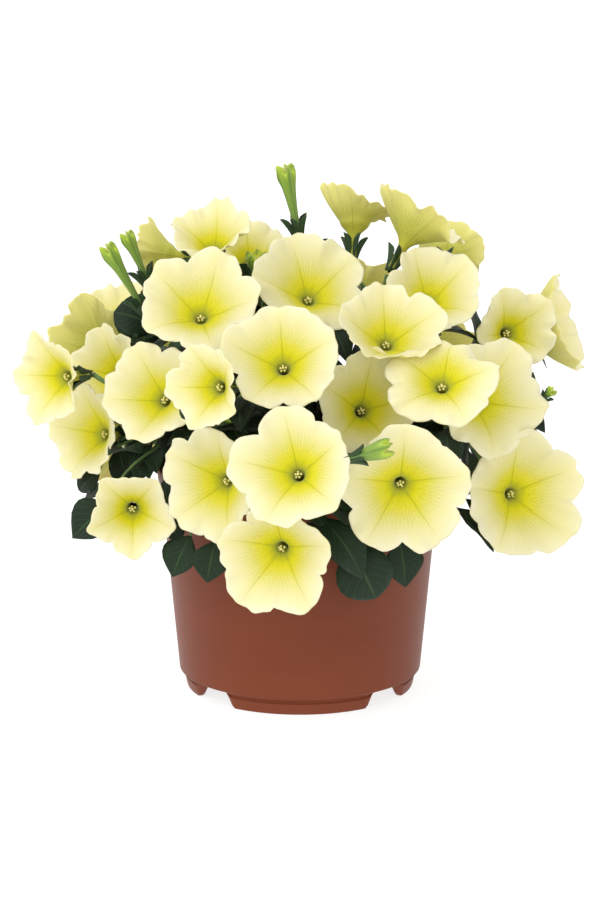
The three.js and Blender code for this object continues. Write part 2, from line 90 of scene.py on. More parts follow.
# %% Camera
CAMERA_PLACE, LOOKS_DOWN, LENS = (0, -1.5762, 0.4879), 13.2, 132

camera_data = bpy.data.cameras.new("Camera")
camera_data.lens = LENS
camera_data.sensor_width = 36
camera = bpy.data.objects.new("Camera", camera_data)
camera.location = CAMERA_PLACE
camera.rotation_euler = (math.radians(90 - LOOKS_DOWN), 0, 0)
scene = bpy.context.scene
scene.collection.objects.link(camera)
scene.camera = camera
print("camera distance to the pot's axis:", round(abs(camera.location.y), 3), "m")

# %% [markdown]
# ## Colours and nodes
#
# Every finish below, the sky and all that repeats are trees of nodes. One function adds any
# node with its settings and links, so that a tree reads from top to bottom and each node keeps
# the name that Blender gives it. Colours are sRGB hex values, as a paint chart gives them, and
# one function turns them to the linear values that shaders use.

# %% Colours and nodes
MATH, MAP_RANGE, MIX = "ShaderNodeMath", "ShaderNodeMapRange", "ShaderNodeMix"
RAMP, NOISE, AXES = "ShaderNodeValToRGB", "ShaderNodeTexNoise", "ShaderNodeSeparateXYZ"


def linear(hex_colour):
    """An sRGB hex colour as the linear RGBA that shaders use."""
    channels = [int(hex_colour[i:i + 2], 16) / 255 for i in (1, 3, 5)]
    return tuple(c / 12.92 if c <= 0.04045 else ((c + 0.055) / 1.055) ** 2.4 for c in channels) + (1.0,)


def set_inputs(tree, node, inputs):
    """Gives each input a value, a hex colour, or the node or output that feeds it."""
    for key, value in inputs.items():
        if isinstance(value, bpy.types.Node):
            value = value.outputs[0]
        if isinstance(value, bpy.types.NodeSocket):
            tree.links.new(value, node.inputs[key])
        elif isinstance(value, str) and value.startswith("#"):
            node.inputs[key].default_value = linear(value)
        else:
            node.inputs[key].default_value = value


def add_node(tree, kind, inputs=None, stops=(), **settings):
    """Adds a node. stops are a colour ramp's pairs of place and hex colour."""
    node = tree.nodes.new(kind)
    for name, value in settings.items():
        setattr(node, name, value)
    set_inputs(tree, node, inputs or {})
    if stops:
        elements = node.color_ramp.elements
        while len(elements) < len(stops):
            elements.new(0.5)
        for element, (place, colour) in zip(elements, stops):
            element.position = place
            element.color = linear(colour)
    return node


def new_finish(name):
    """A material, its tree and the Principled shader that Blender puts into it."""
    finish = bpy.data.materials.new(name)
    finish.use_nodes = True
    return finish, finish.node_tree, finish.node_tree.nodes["Principled BSDF"]


print("mid grey #808080 is linear", round(linear("#808080")[0], 3))

# %% [markdown]
# ## Light and ground
#
# A catalogue picture of a plant has soft light from all round and a white ground. A white world,
# dimmer on the right, gives that. A large key lamp high on the left adds form, a weak one in
# front opens the throats, and one behind lights the petals from the back. Small hard lamps
# would cut sharp shadows into them. Colours are shown as they are, with no film curve, because
# cream petals on white would turn grey under one.

# %% Studio
SKY_LEFT, SKY_RIGHT = 1.26, 0.72
PLANT_MIDDLE = np.array((0, 0, 0.13))

scene.view_settings.view_transform = "Standard"
world = bpy.data.worlds.new("White studio")
world.use_nodes = True
tree = world.node_tree
sky_way = add_node(tree, AXES, {0: add_node(tree, "ShaderNodeTexCoord").outputs["Generated"]})
sky_strength = add_node(tree, MAP_RANGE, {0: sky_way, 1: -0.3, 2: 1.0, 3: SKY_LEFT, 4: SKY_RIGHT})
set_inputs(tree, tree.nodes["Background"], {"Strength": sky_strength, "Color": "#ffffff"})
scene.world = world


def add_lamp(name, place, size, power):
    """A square soft lamp that looks at the middle of the plant."""
    data = bpy.data.lights.new(name, "AREA")
    data.size = size
    data.energy = power
    lamp = bpy.data.objects.new(name, data)
    lamp.location = place
    aim = PLANT_MIDDLE - np.array(place)
    flat = math.hypot(aim[0], aim[1])
    lamp.rotation_euler = (math.atan2(flat, -aim[2]), 0, math.atan2(-aim[0], aim[1]))
    scene.collection.objects.link(lamp)


add_lamp("Key lamp", (-1.0, -1.1, 1.5), 1.6, 10)
add_lamp("Front lamp", (0.4, -2.2, 0.5), 1.4, 7)
add_lamp("Back lamp", (0.7, 1.3, 1.4), 0.9, 6)
print("world strength:", SKY_LEFT, "on the left,", SKY_RIGHT, "on the right")

# %% [markdown]
# The floor is matt white paper on a light table, wide enough that the camera sees nothing past
# it. The light from below fills most of the pot's shadow. A mesh from a list of points is the
# plainest way to make it, and the same helper turns every shape below into a mesh.

# %% Floor
FLOOR_REACH = 9000


def mesh_object(name, points, faces, material=None, uv=None, numbers=None):
    """A smooth mesh from points in millimetres. uv holds one pair for each face corner."""
    mesh = bpy.data.meshes.new(name)
    mesh.from_pydata((np.asarray(points) * MM).tolist(), [], [list(map(int, f)) for f in faces])
    if uv is not None:
        layer = mesh.uv_layers.new(name="UVMap")
        layer.data.foreach_set("uv", np.asarray(uv, dtype=np.float32).ravel())
    for key, values in (numbers or {}).items():
        attribute = mesh.attributes.new(key, "FLOAT", "POINT")
        attribute.data.foreach_set("value", np.asarray(values, dtype=np.float32))
    if material is not None:
        mesh.materials.append(material)
    mesh.shade_smooth()
    mesh.validate()
    piece = bpy.data.objects.new(name, mesh)
    scene.collection.objects.link(piece)
    return piece


paper, tree, paper_shader = new_finish("White paper lit from below")
set_inputs(tree, paper_shader, {
    "Base Color": "#959595", "Roughness": 0.9, "Emission Color": "#ffffff", "Emission Strength": 0.8,
})
floor_points = [(x * FLOOR_REACH, y * FLOOR_REACH, 0) for x, y in ((-1, -1), (1, -1), (1, 1), (-1, 1))]
floor = mesh_object("Floor", floor_points, [(0, 1, 2, 3)], paper)
print("floor:", 2 * FLOOR_REACH * MM, "m wide")

# %% [markdown]
# ## Where everything grows
#
# The same tables as in the CAD source place each flower, bud and shoot, because this script may
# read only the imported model. A flower is the middle of its mouth, the way it looks (azimuth
# from -Y towards +X, then elevation), its diameter and the turn of its five lobes.

# %% Flowers and buds
FLOWERS = {
    "F1": (-48, -52, 205, -5, 48, 56, 18), "F2": (7, -24, 209, 15, 50, 56, -12),
    "F3": (-9, -95, 186, -5, 35, 55, -5), "F4": (43, -62, 194, 12, 49, 51, 0),
    "F5": (65, -91, 179, -4, 45, 54, 10), "F6": (65, -18, 204, 15, 45, 48, -15),
    "F7": (33, -73, 158, 15, 25, 52, 10), "F8": (-4, -128, 142, -12, 30, 56, -15),
    "F9": (-45, -88, 121, -36, 2, 56, 10), "F10": (-13, -118, 94, -15, -4, 55, 0),
    "F11": (48, -115, 123, 5, -6, 62, 0), "F12": (110, -40, 105, 25, 10, 60, -5),
    "F13": (93, -46, 154, 30, 15, 56, 35), "F14": (-80, -65, 101, 0, 0, 40, -38),
    "F15": (-107, -27, 134, -48, 15, 48, -20), "F16": (-72, -62, 161, -30, 25, 50, -32),
    "F17": (-46, -104, 172, -35, 10, 40, -25), "F18": (-98, -1, 159, -38, 20, 46, -20),
    "F19": (-122, -44, 163, -40, 5, 42, -20), "F20": (-111, 50, 161, -128, 10, 54, 0),
    "F21": (-96, 90, 174, -40, 70, 38, 0), "F22": (-44, 0, 230, -15, 62, 40, 0),
    "F23": (-76, 34, 209, -105, 0, 36, 0), "F24": (28, 44, 235, 170, 64, 36, 0),
    "F25": (60, 15, 235, 125, 55, 52, 0), "F26": (77, 62, 206, 165, 0, 34, 0),
    "F27": (107, -5, 178, 22, 12, 42, -20), "F28": (129, 30, 175, 80, 15, 50, 10),
    "F29": (-24, 45, 215, 10, 60, 38, 0), "F30": (-5, 132, 140, 180, 15, 56, 10),
    "F31": (-62, 125, 146, -145, 18, 56, 30), "F32": (74, 112, 148, 142, 18, 56, -20),
    "F33": (-24, 104, 180, -165, 35, 54, 0), "F34": (32, 106, 180, 165, 38, 54, 20),
    "F35": (-106, 58, 112, -118, 0, 54, 0), "F36": (104, 60, 114, 118, 5, 54, 15),
    "F37": (-57, 122, 92, -155, -5, 52, 0), "F38": (58, 122, 92, 155, -5, 52, 0),
    "F39": (0, 126, 86, 180, -5, 54, 0),
}

# Each bud: foot of its petals, the way it points, its length and its widest diameter
BUDS = {
    "B1": (-2, 15, 229, -90, 78, 30, 9), "B2": (-75, 2, 186, -90, 60, 33, 8),
    "B3": (-73, 8, 198, -90, 66, 22, 7), "B4": (-21, 8, 201, 0, 75, 14, 11),
    "B5": (22, -124, 143, 80, 18, 24, 9), "B6": (116, -24, 148, 60, 45, 12, 5),
    "B7": (-40, -75, 147, 70, 30, 11, 5),
}

print(len(FLOWERS), "flowers,", len(BUDS), "buds")

# %% Shoots
# Each shoot: foot, tip, what it carries and from which share of its length (a second value is
# a place that the stalk bends round), and the leaves that hang free of the rest
SHOOTS = {
    "front": ((-2, -20), (-3, -60, 150), {"F10": 0.6, "F8": 0.8, "F3": 1.0}, []),
    "front_left": (
        (-12, -16), (-36, -46, 142), {"F9": 0.6, "F16": 0.85, "F17": 1.0, "B7": 0.9},
        [(0.5, (-52, -58, 90), (-61, -60, 70), 18, -20, 10),
         (0.55, (-40, -68, 90), (-44, -70, 70), 18, -10, 10)],
    ),
    "left": (
        (-20, -6), (-62, -8, 142), {"F14": 0.55, "F15": 0.7, "F18": 0.9, "F19": (1.0, (-84, -26, 150))},
        [(0.5, (-90, -48, 103), (-109, -48, 86), 22, -20, 25),
         (0.6, (-97, -22, 113), (-107, -22, 103), 16, -40, 30)],
    ),
    "top_left": (
        (-10, 3), (-42, 8, 180), {"F1": 0.75, "F22": 1.0, "F23": 0.95, "B2": 0.85, "B3": 0.9},
        [(0.8, (-70, 14, 176), (-91, 14, 185), 24, -20, 40)],
    ),
    "back_left": (
        (-17, 12), (-60, 44, 142), {"F35": 0.65, "F20": 0.9, "F21": 1.0, "F31": 0.95, "F37": 0.6}, [],
    ),
    "top": (
        (0, 0), (-4, 22, 190), {"F2": 0.75, "F29": 0.95, "B1": 1.0, "B4": 0.85},
        [(0.9, (19, 38, 208), (7, 36, 216), 9, 0, 50)],
    ),
    "top_right": ((10, 5), (44, 14, 180), {"F6": 0.75, "F25": 0.9, "F24": 0.95, "F26": 1.0}, []),
    "front_right": (
        (10, -16), (35, -46, 140), {"F11": 0.65, "F7": 0.85, "F4": 1.0, "B5": (0.8, (16, -96, 136))},
        [(0.5, (10, -86, 106), (30, -88, 77), 20, 15, 25),
         (0.55, (23, -76, 92), (36, -78, 64), 28, 0, 15),
         (0.6, (47, -68, 92), (50, -68, 67), 19, 10, 10)],
    ),
    "right": (
        (21, -4), (70, 0, 142),
        {"F12": 0.6, "F13": 0.75, "F5": 0.8, "F27": 0.95, "F28": 1.0, "B6": 0.85},
        [(0.5, (74, -38, 99), (94, -42, 78), 9, 20, 40),
         (0.55, (80, -30, 101), (92, -30, 82), 11, 40, 20),
         (0.8, (106, -14, 146), (119, -14, 130), 10, 20, 10)],
    ),
    "back_right": ((16, 13), (52, 46, 138), {"F36": 0.7, "F38": 0.6, "F32": 0.9, "F34": 1.0}, []),
    "back": ((0, 21), (-2, 58, 140), {"F39": 0.6, "F30": 0.85, "F33": 1.0}, []),
}
print(len(SHOOTS), "shoots")

# %% Directions and feet
UP = np.array((0.0, 0.0, 1.0))


def unit(vector):
    return vector / np.linalg.norm(vector)


def facing(azimuth, elevation):
    a, e = math.radians(azimuth), math.radians(elevation)
    return np.array((math.sin(a) * math.cos(e), -math.cos(a) * math.cos(e), math.sin(e)))


def square_to(vector, axis):
    """The part of a vector that is square to an axis, one unit long."""
    return unit(vector - np.dot(vector, axis) * axis)


def basis_along(direction):
    """Sideways, upward and forward for a flower that looks along the direction."""
    upward = square_to(UP, direction)
    return np.array((np.cross(upward, direction), upward, direction))


def flower_length(diameter):
    return 20 + 0.25 * diameter


feet = {}
for key, (x, y, z, azimuth, elevation, diameter, _) in FLOWERS.items():
    way = facing(azimuth, elevation)
    feet[key] = (np.array((x, y, z)) - way * flower_length(diameter), way)
for key, (x, y, z, azimuth, elevation, _, _) in BUDS.items():
    feet[key] = (np.array((x, y, z), dtype=float), facing(azimuth, elevation))
print("feet of", len(feet), "flowers and buds")

# %% [markdown]
# ## Petal finish
#
# A petunia petal is a soft film of cells, about a third of a millimetre thick. The eye sees
# three things: light comes through it, the colour runs from cream at the edge to deep yellow
# and green in the throat, and fine veins fan out from the tube. A Principled shader mixed with
# a Translucent one lets light through. The petal's own UV map carries the pattern: u counts
# the lobes from 0 to 5, v goes from the tube's axis (0) to the margin (1). A picture texture
# could do this too, but a rule stays sharp at any size.

# %% Petal finish: colour along the petal
def off_centre(tree, value):
    """How far a number is from the middle between two whole ones: 0 there, 0.5 at each."""
    share = add_node(tree, MATH, {0: value}, operation="FRACT")
    offset = add_node(tree, MATH, {0: share, 1: 0.5}, operation="SUBTRACT")
    return add_node(tree, MATH, {0: offset}, operation="ABSOLUTE")


petal, tree, _ = new_finish("Petunia petal")
tree.nodes.clear()
split = add_node(tree, AXES, {0: add_node(tree, "ShaderNodeUVMap", uv_map="UVMap")})
around, outward = split.outputs[0], split.outputs[1]
# The yellow reaches further out along the middle of each lobe, like a star
lobe_place = off_centre(tree, around)
near_middle = add_node(tree, MAP_RANGE, {0: lobe_place, 1: 0.22, 2: 0.0}, interpolation_type="SMOOTHSTEP")
star = add_node(tree, MATH, {0: near_middle, 1: 0.15}, operation="MULTIPLY")
drawn_in = add_node(tree, MATH, {0: 1.0, 1: star}, operation="SUBTRACT")
yellow_place = add_node(tree, MATH, {0: outward, 1: drawn_in}, operation="MULTIPLY")
ground = add_node(tree, RAMP, {0: yellow_place}, stops=[
    (0.05, "#b3ba5c"), (0.10, "#bcc04c"), (0.16, "#d2d02e"), (0.24, "#ece61e"), (0.35, "#f4ec4e"),
    (0.48, "#f6ef94"), (0.64, "#f9f2b8"), (0.85, "#faf5cd"), (1.00, "#fbf7dc"),
])
print("petal ground:", len(tree.nodes), "nodes")

# %% Petal finish: veins
# Fine veins: lines that fan out from the tube and wander a little, 12 to a lobe near the
# throat and 23 further out, so about 1.2 mm apart all the way
fan = add_node(tree, "ShaderNodeCombineXYZ", {
    0: add_node(tree, MATH, {0: around, 1: 3.0}, operation="MULTIPLY"),
    1: add_node(tree, MATH, {0: outward, 1: 5.0}, operation="MULTIPLY"),
})
streaks = add_node(tree, NOISE, {"Vector": fan, "Scale": 2.4, "Detail": 4.0})
wander = add_node(tree, MATH, {0: streaks, 1: 2.2}, operation="MULTIPLY")


def vein_lines(count, first, full, last, end):
    """Lines across u, strong between two distances from the throat and faded outside them."""
    even = add_node(tree, MATH, {0: around, 1: count}, operation="MULTIPLY")
    bent = add_node(tree, MATH, {0: even, 1: wander}, operation="ADD")
    line = add_node(tree, MAP_RANGE, {0: off_centre(tree, bent), 1: 0.28, 2: 0.04})
    rise = add_node(tree, MAP_RANGE, {0: outward, 1: first, 2: full})
    fall = add_node(tree, MAP_RANGE, {0: outward, 1: end, 2: last})
    shown = add_node(tree, MATH, {0: rise, 1: fall}, operation="MULTIPLY")
    return add_node(tree, MATH, {0: line, 1: shown}, operation="MULTIPLY", use_clamp=True)


inner_veins = vein_lines(12.0, 0.12, 0.2, 0.35, 0.75)
outer_veins = vein_lines(23.0, 0.3, 0.42, 0.5, 0.95)
fainter = add_node(tree, MATH, {0: outer_veins, 1: 0.75}, operation="MULTIPLY")
fine_veins = add_node(tree, MATH, {0: inner_veins, 1: fainter}, operation="MAXIMUM")
# One strong vein down the middle of each lobe, 0.5 mm wide
half_width = add_node(tree, MAP_RANGE, {0: outward, 1: 0.1, 2: 1.0, 3: 0.045, 4: 0.006})
midrib = add_node(tree, MAP_RANGE, {0: lobe_place, 1: half_width, 2: 0.0})
midrib_fade = add_node(tree, MAP_RANGE, {0: outward, 1: 0.95, 2: 0.3, 3: 0.0, 4: 0.6})
midrib_line = add_node(tree, MATH, {0: midrib, 1: midrib_fade}, operation="MULTIPLY", use_clamp=True)
print("petal ground and veins:", len(tree.nodes), "nodes")

# %% Petal finish: both sides and the light through them
vein_share = add_node(tree, MATH, {0: fine_veins, 1: 0.52}, operation="MULTIPLY")
vein_colour = add_node(tree, MIX, {0: 1.0, 6: ground, 7: "#dcd98c"},
                       data_type="RGBA", blend_type="MULTIPLY")
face = add_node(tree, MIX, {0: vein_share, 6: ground, 7: vein_colour.outputs[2]}, data_type="RGBA")
face = add_node(tree, MIX, {0: midrib_line, 6: face.outputs[2], 7: "#b4b628"}, data_type="RGBA")
# The back of a petal is greener and duller, and its veins show more
is_back = add_node(tree, "ShaderNodeAttribute", attribute_name="back").outputs["Fac"]
reverse = add_node(tree, MIX, {0: outward, 6: "#d2d040", 7: "#f0ea9e"}, data_type="RGBA")
for line, ink in ((fine_veins, "#c0c45a"), (midrib_line, "#a3ad50")):
    reverse = add_node(tree, MIX, {0: line, 6: reverse.outputs[2], 7: ink}, data_type="RGBA")
both_sides = add_node(tree, MIX, {0: is_back, 6: face.outputs[2], 7: reverse.outputs[2]}, data_type="RGBA")
colour = both_sides.outputs[2]
relief = add_node(tree, MATH, {0: streaks, 1: midrib_line}, operation="ADD")
bump = add_node(tree, "ShaderNodeBump", {"Height": relief, "Strength": 0.45, "Distance": 0.0004})
surface = add_node(tree, "ShaderNodeBsdfPrincipled", {
    "Base Color": colour, "Roughness": 0.55, "IOR": 1.4, "Specular IOR Level": 0.25,
    "Sheen Weight": 0.15, "Normal": bump,
})
through = add_node(tree, "ShaderNodeBsdfTranslucent", {"Color": colour, "Normal": bump})
both = add_node(tree, "ShaderNodeMixShader", {0: 0.32, 1: surface, 2: through})
add_node(tree, "ShaderNodeOutputMaterial", {"Surface": both})
print("petal material:", len(tree.nodes), "nodes")

# %% [markdown]
# ## The corolla
#
# A petunia flower is one piece: a narrow tube that opens into a funnel and a nearly flat limb of
# five joined lobes. Sculpting thirty-nine of them by hand would take days, and one copied shape
# looks false, so each flower follows a rule and has its own numbers. The profile gives height
# and radius from the foot to the margin. Lobes, notches, ruffles, a crease along each midrib
# and the droop of the lower lobes are added where the limb begins. An inner skin a third of a
# millimetre away closes the film, so it has a true edge.

# %% Numbers of the corollas
FULL_DIAMETER, MARGIN_RADIUS, FILM = 56, 28, 0.35
LOBES, LOBE_ANGLE, HALF_LOBE = 5, math.radians(72), math.radians(36)
CUT, RINGS = LOBES * 20, 28
# Height above the foot and radius of a full-size flower
PROFILE = [
    (0, 1.6), (8, 2.0), (13, 2.4), (15.6, 3.2), (17.4, 4.8), (19.4, 7.8), (22, 11.6), (25.4, 16.2),
    (28.8, 21), (31.6, 25), (33.6, 28),
]
# How one flower differs: millimetres that the margin bends back, that the lower lobes droop
# and the upper lobes lean forward, size of the ruffle, and length of the pointed lobe tips
HABITS = {
    "F1": (2.0, 4.0, 4.0, 1.3, 0.0), "F2": (2.0, 5.0, 3.0, 1.2, 0.0), "F3": (2.0, 3.0, 1.0, 1.1, 0.0),
    "F4": (-1.0, -5.0, -1.0, 1.6, 0.0), "F5": (4.0, 4.0, -17.0, 1.3, 0.0), "F6": (2.0, 3.0, 2.0, 1.5, 0.0),
    "F7": (2.0, 4.0, 1.0, 1.3, 0.0), "F8": (2.5, 4.0, 1.5, 1.3, 0.0), "F9": (2.0, 2.0, 1.0, 1.2, 0.0),
    "F10": (1.5, 1.0, 3.0, 1.3, 0.6), "F11": (3.0, 1.0, 1.0, 1.2, 0.0), "F12": (-1.0, 2.0, 0.0, 1.4, 0.0),
    "F14": (1.0, 1.0, 0.0, 0.8, 3.0), "F16": (2.5, 3.0, 1.0, 1.4, 0.0), "F17": (0.5, 3.0, 0.0, 2.4, 0.8),
    "F18": (2.0, 4.0, 1.0, 1.8, 0.0), "F19": (0.0, 2.0, 0.0, 2.2, 3.0), "F20": (0.0, 3.0, 0.0, 2.6, 0.5),
    "F21": (-3.0, -2.0, 2.0, 2.0, 0.4), "F22": (1.0, 3.0, 2.0, 2.2, 0.5), "F23": (0.5, 2.0, 2.0, 2.4, 1.0),
    "F24": (0.0, 3.0, 1.0, 1.7, 1.6), "F25": (1.0, 0.0, 0.0, 2.0, 0.4), "F27": (1.0, 5.0, 0.0, 2.8, 0.8),
    "F28": (-5.0, 0.0, 0.0, 1.3, 0.3),
}
USUAL_HABIT = (2.2, 3.0, 0.5, 1.6, 0.2)
# Millimetres that the margin rises on its left and sinks on its right, seen from behind
SLANT = {"F24": 6.5, "F25": 5.0, "F12": 5.0}
# These flowers open in a straighter cone: share of the way from the trumpet to a true cone
CONE = {"F24": 0.4, "F25": 0.35, "F28": 0.4}
# The tube's top as height and radius, and how far up and out the margin is from there
TUBE_HEIGHT, TUBE_RADIUS, CONE_HEIGHT, CONE_SPREAD = 13, 2.4, 20.6, 25.6
print("flowers with habits of their own:", len(HABITS), "of", len(FLOWERS))

# %% Rule for one corolla
def smooth_line(points, count):
    """Points along a smooth curve through the given ones (Catmull-Rom)."""
    p = np.asarray(points, dtype=float)
    padded = np.vstack([2 * p[0] - p[1], p, 2 * p[-1] - p[-2]])
    t = np.linspace(0, len(p) - 1, count)
    i = np.minimum(t.astype(int), len(p) - 2)
    f = (t - i)[:, None]
    a, b, c, d = padded[i], padded[i + 1], padded[i + 2], padded[i + 3]
    return 0.5 * (2 * b + (c - a) * f + (2 * a - 5 * b + 4 * c - d) * f**2 + (3 * b - a - 3 * c + d) * f**3)


def smooth_step(value):
    v = np.clip(value, 0, 1)
    return v * v * (3 - 2 * v)


def corolla_skin(key):
    """Points of a flower's limb and tube on a grid of rings, with u and v, in its own frame."""
    _, _, _, _, _, diameter, turn = FLOWERS[key]
    back, droop, lift, ruffle, tip = HABITS.get(key, USUAL_HABIT)
    chance = np.random.default_rng(100 + int(key[1:]))
    size = diameter / FULL_DIAMETER
    stretch = flower_length(diameter) / flower_length(FULL_DIAMETER)
    line = smooth_line(PROFILE, RINGS)
    height, radius = line[:, 0][:, None], line[:, 1][:, None]
    # Angle from the middle of the first lobe; the grid starts and ends in a notch
    angle = np.radians(np.linspace(-36, 324, CUT, endpoint=False))[None, :]
    lobe = np.floor((angle + HALF_LOBE) / LOBE_ANGLE + 1e-9).astype(int)
    off_middle = angle - lobe * LOBE_ANGLE
    # Each notch is shared by two lobes, so both take its depth and its curl from one number
    notch_place = (lobe + (off_middle > 0)) % LOBES
    out = radius / MARGIN_RADIUS
    true_cone = TUBE_RADIUS + CONE_SPREAD * np.clip((height - TUBE_HEIGHT) / CONE_HEIGHT, 0, 1)
    radius = radius + CONE.get(key, 0.0) * (true_cone - radius) * (height > TUBE_HEIGHT)
    limb = smooth_step((out - 0.42) / 0.58)
    notch = 1 - np.abs(np.cos(2.5 * angle)) ** 0.7
    notch_depth = chance.uniform(0.08, 0.24, LOBES)[notch_place]
    lobe_size = chance.normal(0, 0.035, LOBES)[lobe] * (1 - notch)
    scallop = sum(
        size_of * np.sin(count * angle + chance.uniform(0, 2 * math.pi))
        for count, size_of in ((9, 0.014), (14, 0.012), (22, 0.009))
    )
    # A lobe ends in a point, or in a shallow dent where it has none
    point = tip / MARGIN_RADIUS * np.exp(-((off_middle / 0.16) ** 2))
    dent = chance.uniform(0.0, 0.045, LOBES)[lobe] * np.exp(-((off_middle / 0.1) ** 2)) * (tip < 0.5)
    reach = 1 + limb * (lobe_size - notch_depth * notch + point - dent + scallop)
    slow, quick = (
        sum(share * np.sin(count * angle + chance.uniform(0, 2 * math.pi)) for count, share in waves)
        for waves in (((3, 0.6), (7, 0.6)), ((12, 0.5), (17, 0.36), (23, 0.22)))
    )
    flat_angle = angle + math.radians(turn)
    # low is 1 at the bottom of the flower and 0 at its top; bend grows towards the margin
    low = np.clip(0.5 - 0.5 * np.cos(flat_angle), 0, 1)
    bend = np.clip((out - 0.38) / 0.62, 0, 1) ** 2
    own_bend = chance.normal(0, 1.5, LOBES)[lobe] * np.cos(2.5 * off_middle) ** 2
    curl = chance.normal(1.8, 1.3, LOBES)[notch_place]
    z = height * stretch - flower_length(diameter)
    z = z - size * bend * (back + own_bend + droop * low**2 - lift * (1 - low) ** 2)
    z = z + bend * SLANT.get(key, 0.0) * np.sin(flat_angle)
    z = z + size * ruffle * (slow * limb**1.5 + quick * limb**2.5)
    z = z - size * limb * curl * (np.abs(off_middle) / HALF_LOBE) ** 2
    # The crease along each midrib, half a millimetre deep
    z = z - size * 0.5 * np.exp(-(off_middle * radius / 1.1) ** 2) * smooth_step((out - 0.2) / 0.4)
    r = radius * (1 + (size - 1) * smooth_step((out - 0.08) / 0.35)) * reach
    ring_angle = flat_angle + 0 * height
    points = np.stack([r * np.sin(ring_angle), r * np.cos(ring_angle), z + 0 * ring_angle], axis=-1)
    u = (angle + HALF_LOBE) / LOBE_ANGLE + 0 * height
    return points, u, out + 0 * angle


print("corolla grid:", RINGS, "rings of", CUT, "points")

# %% Closed film for each flower
def grid_normals(points):
    """Normals of a grid that closes on itself along its second axis, facing the grid's front."""
    along = np.gradient(points, axis=0)
    across = np.roll(points, -1, axis=1) - np.roll(points, 1, axis=1)
    normals = np.cross(across, along)
    return normals / np.maximum(np.linalg.norm(normals, axis=-1, keepdims=True), 1e-9)


def film_mesh(name, points, u, v, material, place, direction):
    """Closes a grid of rings into a thin film: face, edge, back and a capped foot."""
    rings, cut, _ = points.shape
    normals = grid_normals(points)
    skins = [points, points - normals * FILM]
    verts = np.vstack([s.reshape(-1, 3) for s in skins]) @ basis_along(direction) + np.asarray(place)
    size = rings * cut
    faces, corners = [], []
    lap = np.append(u[0], float(LOBES))

    def corner(i, j):
        return (lap[j], v[i % rings][j % cut])

    for i in range(rings - 1):
        for j in range(cut):
            k = (j + 1) % cut
            quad = [(i, j), (i, j + 1), (i + 1, j + 1), (i + 1, j)]
            ids = [i * cut + j, i * cut + k, (i + 1) * cut + k, (i + 1) * cut + j]
            faces.append(ids)
            corners += [corner(a, b) for a, b in quad]
            faces.append([size + n for n in reversed(ids)])
            corners += [corner(a, b) for a, b in reversed(quad)]
    rim, last = (rings - 1) * cut, rings - 1
    for j in range(cut):
        k = (j + 1) % cut
        faces.append([rim + j, rim + k, size + rim + k, size + rim + j])
        corners += [corner(last, j), corner(last, j + 1), corner(last, j + 1), corner(last, j)]
        faces.append([k, j, size + j, size + k])
        corners += [corner(0, j + 1), corner(0, j), corner(0, j), corner(0, j + 1)]
    return mesh_object(name, verts, faces, material, corners, {"back": np.repeat([0.0, 1.0], size)})


def finish_piece(piece, slot, *nodes):
    """Lets a finished piece ride on the one body, in place of its CAD nodes."""
    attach(piece, "root")
    if nodes:
        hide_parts(*nodes)
    return piece


flower_pieces = {}
for key, (x, y, z, azimuth, elevation, _, _) in FLOWERS.items():
    points, u, v = corolla_skin(key)
    number = key[1:].zfill(2)
    flower = film_mesh(f"corolla_{number}", points, u, v, petal, (x, y, z), facing(azimuth, elevation))
    flower_pieces[key] = finish_piece(flower, "petals", f"flower_{number}")
print("corolla faces each:", len(flower_pieces["F1"].data.polygons))

# %% [markdown]
# ## Buds
#
# A petunia bud is the same film rolled up: five pleats wound round each other, green at the
# foot and yellow-green where the tips fold in. A turned shape with pleats that wind as they
# rise shows this, and needs no simulation.

# %% Bud finish
bud_skin, tree, bud_shader = new_finish("Rolled petunia bud")
bud_split = add_node(tree, AXES, {0: add_node(tree, "ShaderNodeUVMap", uv_map="UVMap")})
bud_ground = add_node(tree, RAMP, {0: bud_split.outputs[1]}, stops=[
    (0.0, "#5f7c33"), (0.5, "#7d9d30"), (0.8, "#a9c025"), (0.95, "#c6cf2c"), (1.0, "#d2d648"),
])
# Painted shade: the folds between the pleats are darkened towards a deep green
fold_painted_shade = add_node(tree, MAP_RANGE, {0: off_centre(tree, bud_split), 1: 0.28, 2: 0.5})
fold_shade_share = add_node(tree, MATH, {0: fold_painted_shade, 1: 0.75}, operation="MULTIPLY")
bud_colour = add_node(tree, MIX, {0: fold_shade_share, 6: bud_ground, 7: "#4e7024"}, data_type="RGBA")
set_inputs(tree, bud_shader, {
    "Base Color": bud_colour.outputs[2], "Roughness": 0.5, "Sheen Weight": 0.2,
})
print("bud material:", len(tree.nodes), "nodes")

# %% Buds
# Share of the length and of the widest radius, from the foot to the folded tip
CLOSED_BUD = [
    (0, 0.34), (0.2, 0.36), (0.45, 0.46), (0.7, 0.68), (0.88, 0.95), (0.97, 1.0), (1.0, 0.7), (0.96, 0.2),
]
OPENING_BUD = [(0, 0.32), (0.25, 0.45), (0.5, 0.7), (0.75, 0.92), (0.92, 1.0), (1.0, 0.78), (0.88, 0.3)]
HALF_OPEN = ("B4", "B5", "B7")
# Share of its length in the table that a bud's folded film takes; the others take it all
GROWN = {"B1": 1.15, "B2": 1.12, "B3": 1.28, "B5": 0.8, "B6": 0.7}
# Millimetres that a bud's film and green cup reach down over the end of the stalk
SUNK = {"B1": 8.0}


def sunk_foot(key):
    place, way = feet[key]
    return place - SUNK.get(key, 0.0) * way


